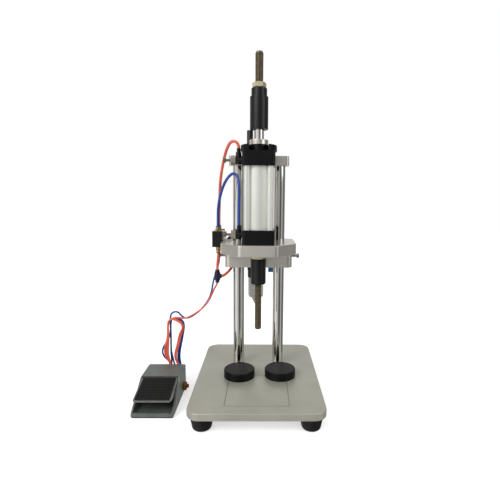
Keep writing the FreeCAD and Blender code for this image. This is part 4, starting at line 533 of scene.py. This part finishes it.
thread_core = ROD_THREAD_RADIUS - THREAD_DEPTH_SHARE * ROD_THREAD_PITCH
rod = threaded_bar([(0, ROD_LOW), (ROD_THREAD_RADIUS, ROD_LOW), (ROD_THREAD_RADIUS, ROD_SHOULDER_LOW),
                    (ROD_RADIUS, ROD_SHOULDER_LOW), (ROD_RADIUS, ROD_SHOULDER_HIGH),
                    (thread_core, ROD_SHOULDER_HIGH), (thread_core, ROD_TOP - 0.0006),
                    (thread_core - 0.0006, ROD_TOP), (0, ROD_TOP)],
                   ROD_THREAD_RADIUS, ROD_THREAD_PITCH, ROD_SHOULDER_HIGH + 0.001, ROD_TOP - 0.001)
rod_piece = piece("piston_rod_bar", rod, hard_chrome, "ram", ("piston_rod",))
rod_piece.data.materials.append(bronzed_steel)
for face in rod_piece.data.polygons:
    if face.center.z > ROD_SHOULDER_HIGH + 0.0005:
        face.material_index = 1

# Stop sleeve and nuts
# The stepped sleeve and the coupling are satin black, and both hexagon nuts on the rod are yellow zinc
# plated.
satin_black = finish("satin_black", shade(14, 15, 14), shade(22, 23, 22), 0.33, grain=1500, broad=26,
                     stretch=(1, 1, 6), depth=0.006, specular=0.35, wear_and_highlight=shade(70, 70, 68))
zinc_plate = finish("zinc_plate", shade(226, 212, 172), shade(240, 230, 196), 0.26, metallic=0.8, grain=900,
                    broad=140, depth=0.006)
paint(satin_black, "stroke_sleeve", "coupling")
paint(zinc_plate, "stop_nut", "lower_nut")

# Tool stud
# A length of threaded bar in dark steel, screwed up into the coupling. The capping tool screws on to its
# end.
STUD_RADIUS = 0.007
STUD_PITCH = 0.002
STUD_LOW = 0.107
STUD_HIGH = 0.2295
stud_core = STUD_RADIUS - THREAD_DEPTH_SHARE * STUD_PITCH
stud = threaded_bar([(0, STUD_LOW), (stud_core - 0.0008, STUD_LOW), (stud_core, STUD_LOW + 0.0008),
                     (stud_core, STUD_HIGH), (0, STUD_HIGH)],
                    STUD_RADIUS, STUD_PITCH, STUD_LOW + 0.0006, STUD_HIGH)
piece("threaded_stud", stud, bronzed_steel, "ram", ("tool_stud",))

# Flow controllers
# A black elbow at each end cover takes the hose, with a hexagon lock nut and a steel needle that is turned
# to set the flow.
black_plastic = finish("black_plastic", shade(12, 12, 13), shade(19, 19, 20), 0.32, grain=1600, broad=60,
                       depth=0.008, specular=0.35)
nickel = finish("nickel", shade(176, 170, 158), shade(198, 192, 180), 0.2, metallic=1.0, grain=900,
                broad=150, depth=0.004)
paint(black_plastic, "flow_controls")
paint(nickel, "control_nuts")
paint(bronzed_steel, "needle_upper", "needle_lower")

# Valve
# The body is a silver block between two black end caps. Brass push fittings stand on it and hang under it.
# Their coloured release collars are in the tee's section.
valve_silver = finish("valve_silver", shade(176, 172, 162), shade(196, 192, 182), 0.36, metallic=0.8,
                      grain=1800, broad=60, wear_and_highlight=shade(224, 222, 216))
brass = finish("brass", shade(186, 158, 84), shade(214, 188, 112), 0.26, metallic=1.0, grain=900, broad=140,
               depth=0.006, uneven=0.3)
paint(valve_silver, "valve_body")
paint(black_plastic, "valve_caps")
paint(plain_steel, "valve_spool")
paint(brass, "push_fittings")

# Filter regulator
# It hangs behind the clamp bar: a black body and knob, a milky clear bowl held by a black ring, and a drain
# cone under it. The supply plugs into a blue elbow at its right.
milky_bowl = finish("milky_bowl", shade(222, 220, 210), shade(238, 236, 228), 0.28, grain=500, broad=30,
                    depth=0.006, coat=0.3)
milky_bowl.node_tree.nodes["Principled BSDF"].inputs["Transmission Weight"].default_value = 0.35
inlet_blue = finish("inlet_blue", shade(24, 92, 140), shade(34, 110, 162), 0.34, grain=900, broad=60)
drain_beige = finish("drain_beige", shade(186, 180, 160), shade(206, 200, 182), 0.4, grain=900, broad=80)
paint(black_plastic, "filter_body", "regulator_knob")
paint(milky_bowl, "filter_bowl")
paint(drain_beige, "drain_valve")
paint(inlet_blue, "inlet_elbow")

# Tee piece
# A push-in tee of navy plastic, where the supply divides for the valve and for the pedal. Every push
# fitting has a round release collar about its hose: purple where the hose is orange, else blue.
navy_plastic = finish("navy_plastic", shade(18, 20, 44), shade(26, 28, 58), 0.32, grain=1200, broad=60)
purple_collar = finish("purple_collar", shade(76, 34, 92), shade(96, 46, 112), 0.34, grain=1200, broad=60)
blue_collar = finish("blue_collar", shade(34, 66, 140), shade(46, 82, 160), 0.34, grain=1200, broad=60)
COLLAR_RADIUS = 0.0047
COLLAR_HOLE = 0.0031
COLLAR_HEIGHT = 0.0026
COLLAR_EDGE = 0.0006


def release_collar(name, material, place, stands=True):
    """A collar with rounded edges round a hose, standing on a fitting or hanging under it."""
    outline = [(COLLAR_HOLE, 0), (COLLAR_RADIUS - COLLAR_EDGE, 0), (COLLAR_RADIUS, COLLAR_EDGE),
               (COLLAR_RADIUS, COLLAR_HEIGHT - COLLAR_EDGE), (COLLAR_RADIUS - COLLAR_EDGE, COLLAR_HEIGHT),
               (COLLAR_HOLE, COLLAR_HEIGHT), (COLLAR_HOLE, 0)]
    shape = turned(outline, steps=32)
    foot = place[2] if stands else place[2] - COLLAR_HEIGHT
    bmesh.ops.translate(shape, verts=shape.verts, vec=(place[0], place[1], foot))
    piece(name, soften(shape, 50), material, "head")


paint(navy_plastic, "tee_piece")
release_collar("feed_collar", blue_collar, (-0.0892, 0.055, 0.3188))
release_collar("return_collar", purple_collar, (-0.0892, 0.077, 0.3188))
release_collar("supply_collar", purple_collar, (-0.0892, 0.057, 0.2632), stands=False)
release_collar("tee_upper_collar", purple_collar, (-0.0917, 0.057, 0.2212))
release_collar("tee_lower_collar", blue_collar, (-0.0917, 0.057, 0.1968), stands=False)

# Hoses of the head
# Hoses of 6 mm polyurethane. The blue one feeds the lower end of the cylinder and the orange one the upper
# end, and two short orange ones join the filter, the tee and the valve.
HOSE_RADIUS = 0.003
FEED_ROUTE = [
    (-0.0892, 0.055, 0.320), (-0.0892, 0.055, 0.340), (-0.088, 0.050, 0.362), (-0.083, 0.043, 0.386),
    (-0.075, 0.034, 0.408), (-0.065, 0.026, 0.424), (-0.054, 0.018, 0.433), (-0.045, 0.011, 0.429),
    (-0.0405, 0.006, 0.414), (-0.0394, 0.0025, 0.394), (-0.0402, 0.0006, 0.370), (-0.0405, 0.0, 0.350),
    (-0.0405, 0.0, 0.3255)]
RETURN_ROUTE = [
    (-0.0892, 0.077, 0.320), (-0.0892, 0.077, 0.343), (-0.087, 0.068, 0.370), (-0.085, 0.057, 0.400),
    (-0.081, 0.043, 0.428), (-0.075, 0.029, 0.453), (-0.0674, 0.016, 0.477), (-0.060, 0.007, 0.4905),
    (-0.053, 0.0026, 0.495), (-0.046, 0.0006, 0.4935), (-0.0405, 0.0, 0.4875), (-0.0405, 0.0, 0.480)]
SUPPLY_ROUTE = [
    (-0.0892, 0.057, 0.263), (-0.0892, 0.057, 0.251), (-0.0917, 0.057, 0.234), (-0.0917, 0.057, 0.222)]
INLET_ROUTE = [
    (-0.0822, 0.057, 0.209), (-0.0775, 0.0575, 0.2100), (-0.070, 0.064, 0.2155), (-0.0645, 0.074, 0.2205),
    (-0.0615, 0.088, 0.2240), (-0.060, 0.105, 0.2255), (-0.057, 0.118, 0.226), (-0.049, 0.1255, 0.226),
    (-0.041, 0.1255, 0.226)]
laid_hose("blue_feed_hose", FEED_ROUTE, HOSE_RADIUS, blue_hose, "head", ("feed_hose",))
laid_hose("orange_return_hose", RETURN_ROUTE, HOSE_RADIUS, orange_hose, "head", ("return_hose",))
laid_hose("orange_supply_hose", SUPPLY_ROUTE, HOSE_RADIUS, orange_hose, "head", ("supply_hose",))
laid_hose("orange_inlet_hose", INLET_ROUTE, HOSE_RADIUS, orange_hose, "head", ("inlet_hose",))

# Foot pedal
# A grey cast housing on a thin rubber sole, with a pressed steel tread that turns on a pin and a spring
# under it. The tread has a ribbed rubber pad. The hose fittings and the silencer are bronze. The spring is
# made here, as a coil.
cast_paint = finish("cast_paint", shade(100, 106, 101), shade(114, 120, 114), 0.44, metallic=0.3, grain=700,
                    broad=60, depth=0.03, wear_and_highlight=shade(170, 172, 168))
pressed_steel = finish("pressed_steel", shade(116, 121, 116), shade(136, 140, 135), 0.32, metallic=0.7,
                       grain=900, broad=60, depth=0.008, wear_and_highlight=shade(190, 192, 190))
pad_rubber = finish("pad_rubber", shade(9, 10, 9), shade(16, 17, 15), 0.45, grain=1500, broad=60,
                    depth=0.02, specular=0.25)
silencer_bronze = finish("silencer_bronze", shade(112, 72, 30), shade(150, 100, 48), 0.5, metallic=0.7,
                         grain=2600, broad=700, depth=0.05)
SPRING_WIRE = 0.0009
SPRING_TURNS = 5
SPRING_STEPS = 16


def coil_points(low, high):
    """The line of a coil spring that fills a box."""
    middle = (Vector(low) + Vector(high)) / 2
    reach = (high[0] - low[0]) / 2 - SPRING_WIRE
    rise = high[2] - low[2] - 2 * SPRING_WIRE
    steps = SPRING_TURNS * SPRING_STEPS
    return [(middle.x + reach * math.cos(math.tau * step / SPRING_STEPS),
             middle.y + reach * math.sin(math.tau * step / SPRING_STEPS),
             low[2] + SPRING_WIRE + rise * step / steps) for step in range(steps + 1)]


paint(cast_paint, "pedal_casting")
spring_low, spring_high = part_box("pedal_spring")
spring, _ = laid_hose("return_spring", coil_points(spring_low, spring_high), SPRING_WIRE, plain_steel,
                                "stand", ("pedal_spring",))
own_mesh(spring)
paint(black_rubber, "pedal_sole")
paint(pressed_steel, "pedal_plate")
paint(pad_rubber, "pedal_pad")
paint(plain_steel, "pedal_pin", "pedal_spool")
paint(silencer_bronze, "pedal_fittings")

# Floor, room and lamps
# A plain pale floor under a white room. A large soft lamp stands at the left in front, and a weaker one at
# the right. What shines mirrors a room with bright walls and two darker stretches between them.
FLOOR_SIZE = 8.0
ROOM_WALLS = ((0.0, 0.75), (0.139, 0.8), (0.208, 0.30), (0.278, 0.35), (0.319, 1.0), (0.403, 0.95),
              (0.444, 0.6), (0.5, 0.45), (0.528, 0.12), (0.606, 0.10), (0.639, 0.55), (0.689, 0.5),
              (0.722, 0.14), (0.833, 0.18), (0.917, 0.5), (1.0, 0.75))
PLAIN_LEVEL = 0.62


def white_floor():
    """A pale floor that looks white and keeps the soft shadow, but isn't mirrored by what shines."""
    shape = bmesh.new()
    bmesh.ops.create_grid(shape, x_segments=8, y_segments=8, size=FLOOR_SIZE / 2)
    bmesh.ops.translate(shape, verts=shape.verts, vec=(0, 0, cad_box[0][2] - 0.0001))
    material = bpy.data.materials.new("floor_white")
    material.use_nodes = True
    tree = material.node_tree
    tree.nodes.clear()
    output = tree.nodes.new("ShaderNodeOutputMaterial")
    matt = tree.nodes.new("ShaderNodeBsdfDiffuse")
    matt.inputs["Color"].default_value = (0.86, 0.86, 0.86, 1)
    glow = tree.nodes.new("ShaderNodeEmission")
    glow.inputs["Color"].default_value = (1, 1, 1, 1)
    glow.inputs["Strength"].default_value = 0.55
    seen = tree.nodes.new("ShaderNodeAddShader")
    ray = tree.nodes.new("ShaderNodeLightPath")
    choice = tree.nodes.new("ShaderNodeMixShader")
    tree.links.new(matt.outputs[0], seen.inputs[0])
    tree.links.new(glow.outputs[0], seen.inputs[1])
    tree.links.new(ray.outputs["Is Camera Ray"], choice.inputs[0])
    tree.links.new(matt.outputs[0], choice.inputs[1])
    tree.links.new(seen.outputs[0], choice.inputs[2])
    clear = tree.nodes.new("ShaderNodeBsdfTransparent")
    mirrored = tree.nodes.new("ShaderNodeMixShader")
    tree.links.new(ray.outputs["Is Glossy Ray"], mirrored.inputs[0])
    tree.links.new(choice.outputs[0], mirrored.inputs[1])
    tree.links.new(clear.outputs[0], mirrored.inputs[2])
    tree.links.new(mirrored.outputs[0], output.inputs["Surface"])
    piece("floor", shape, material)


def room():
    """White for the camera and through the bowl, walls for what shines, a plain level for the rest."""
    world = bpy.data.worlds.new("room")
    scene.world = world
    world.use_nodes = True
    tree = world.node_tree
    tree.nodes.clear()
    link = tree.links.new
    output = tree.nodes.new("ShaderNodeOutputWorld")
    way = tree.nodes.new("ShaderNodeTexCoord")
    axes = tree.nodes.new("ShaderNodeSeparateXYZ")
    front = tree.nodes.new("ShaderNodeMath")
    front.operation = "MULTIPLY"
    front.inputs[1].default_value = -1.0
    turn = tree.nodes.new("ShaderNodeMath")
    turn.operation = "ARCTAN2"
    share = tree.nodes.new("ShaderNodeMapRange")
    share.inputs["From Min"].default_value = -math.pi
    share.inputs["From Max"].default_value = math.pi
    walls = tree.nodes.new("ShaderNodeValToRGB")
    stops = walls.color_ramp.elements
    stops[0].color = (ROOM_WALLS[0][1], ROOM_WALLS[0][1], ROOM_WALLS[0][1], 1)
    stops[1].color = (ROOM_WALLS[-1][1], ROOM_WALLS[-1][1], ROOM_WALLS[-1][1], 1)
    for position, level in ROOM_WALLS[1:-1]:
        stops.new(position).color = (level, level, level, 1)
    upward = tree.nodes.new("ShaderNodeMapRange")
    upward.inputs["From Min"].default_value = 0.35
    upward.inputs["From Max"].default_value = 0.75
    ceiling = tree.nodes.new("ShaderNodeMix")
    ceiling.data_type = "RGBA"
    ceiling.inputs[7].default_value = (0.66, 0.66, 0.65, 1)
    link(way.outputs["Generated"], axes.inputs[0])
    link(axes.outputs["Y"], front.inputs[0])
    link(axes.outputs["X"], turn.inputs[0])
    link(front.outputs[0], turn.inputs[1])
    link(turn.outputs[0], share.inputs["Value"])
    link(share.outputs["Result"], walls.inputs["Fac"])
    link(axes.outputs["Z"], upward.inputs["Value"])
    link(upward.outputs["Result"], ceiling.inputs[0])
    link(walls.outputs["Color"], ceiling.inputs[6])
    ray = tree.nodes.new("ShaderNodeLightPath")
    white = tree.nodes.new("ShaderNodeMath")
    white.operation = "MAXIMUM"
    link(ray.outputs["Is Camera Ray"], white.inputs[0])
    link(ray.outputs["Is Transmission Ray"], white.inputs[1])
    backgrounds = []
    for colour, strength in (((1, 1, 1, 1), PLAIN_LEVEL), (None, 1.0), ((1, 1, 1, 1), 1.0)):
        background = tree.nodes.new("ShaderNodeBackground")
        background.inputs["Strength"].default_value = strength
        if colour:
            background.inputs["Color"].default_value = colour
        else:
            link(ceiling.outputs[2], background.inputs["Color"])
        backgrounds.append(background.outputs[0])
    shining = tree.nodes.new("ShaderNodeMixShader")
    link(ray.outputs["Is Glossy Ray"], shining.inputs[0])
    link(backgrounds[0], shining.inputs[1])
    link(backgrounds[1], shining.inputs[2])
    seen = tree.nodes.new("ShaderNodeMixShader")
    link(white.outputs[0], seen.inputs[0])
    link(shining.outputs[0], seen.inputs[1])
    link(backgrounds[2], seen.inputs[2])
    link(seen.outputs[0], output.inputs["Surface"])


def soft_lamp(name, place, aim, size, power):
    """A square soft lamp that faces the machine."""
    data = bpy.data.lights.new(name, "AREA")
    data.size = size
    data.energy = power
    lamp = bpy.data.objects.new(name, data)
    lamp.matrix_world = (Matrix.Translation(place)
                         @ (Vector(aim) - Vector(place)).to_track_quat("-Z", "Y").to_matrix().to_4x4())
    scene.collection.objects.link(lamp)


white_floor()
room()
soft_lamp("window_left", (-1.5, -1.7, 1.9), (0, 0, 0.25), 1.3, 34)
soft_lamp("window_right", (1.8, -1.2, 1.2), (0, 0, 0.25), 1.4, 9)
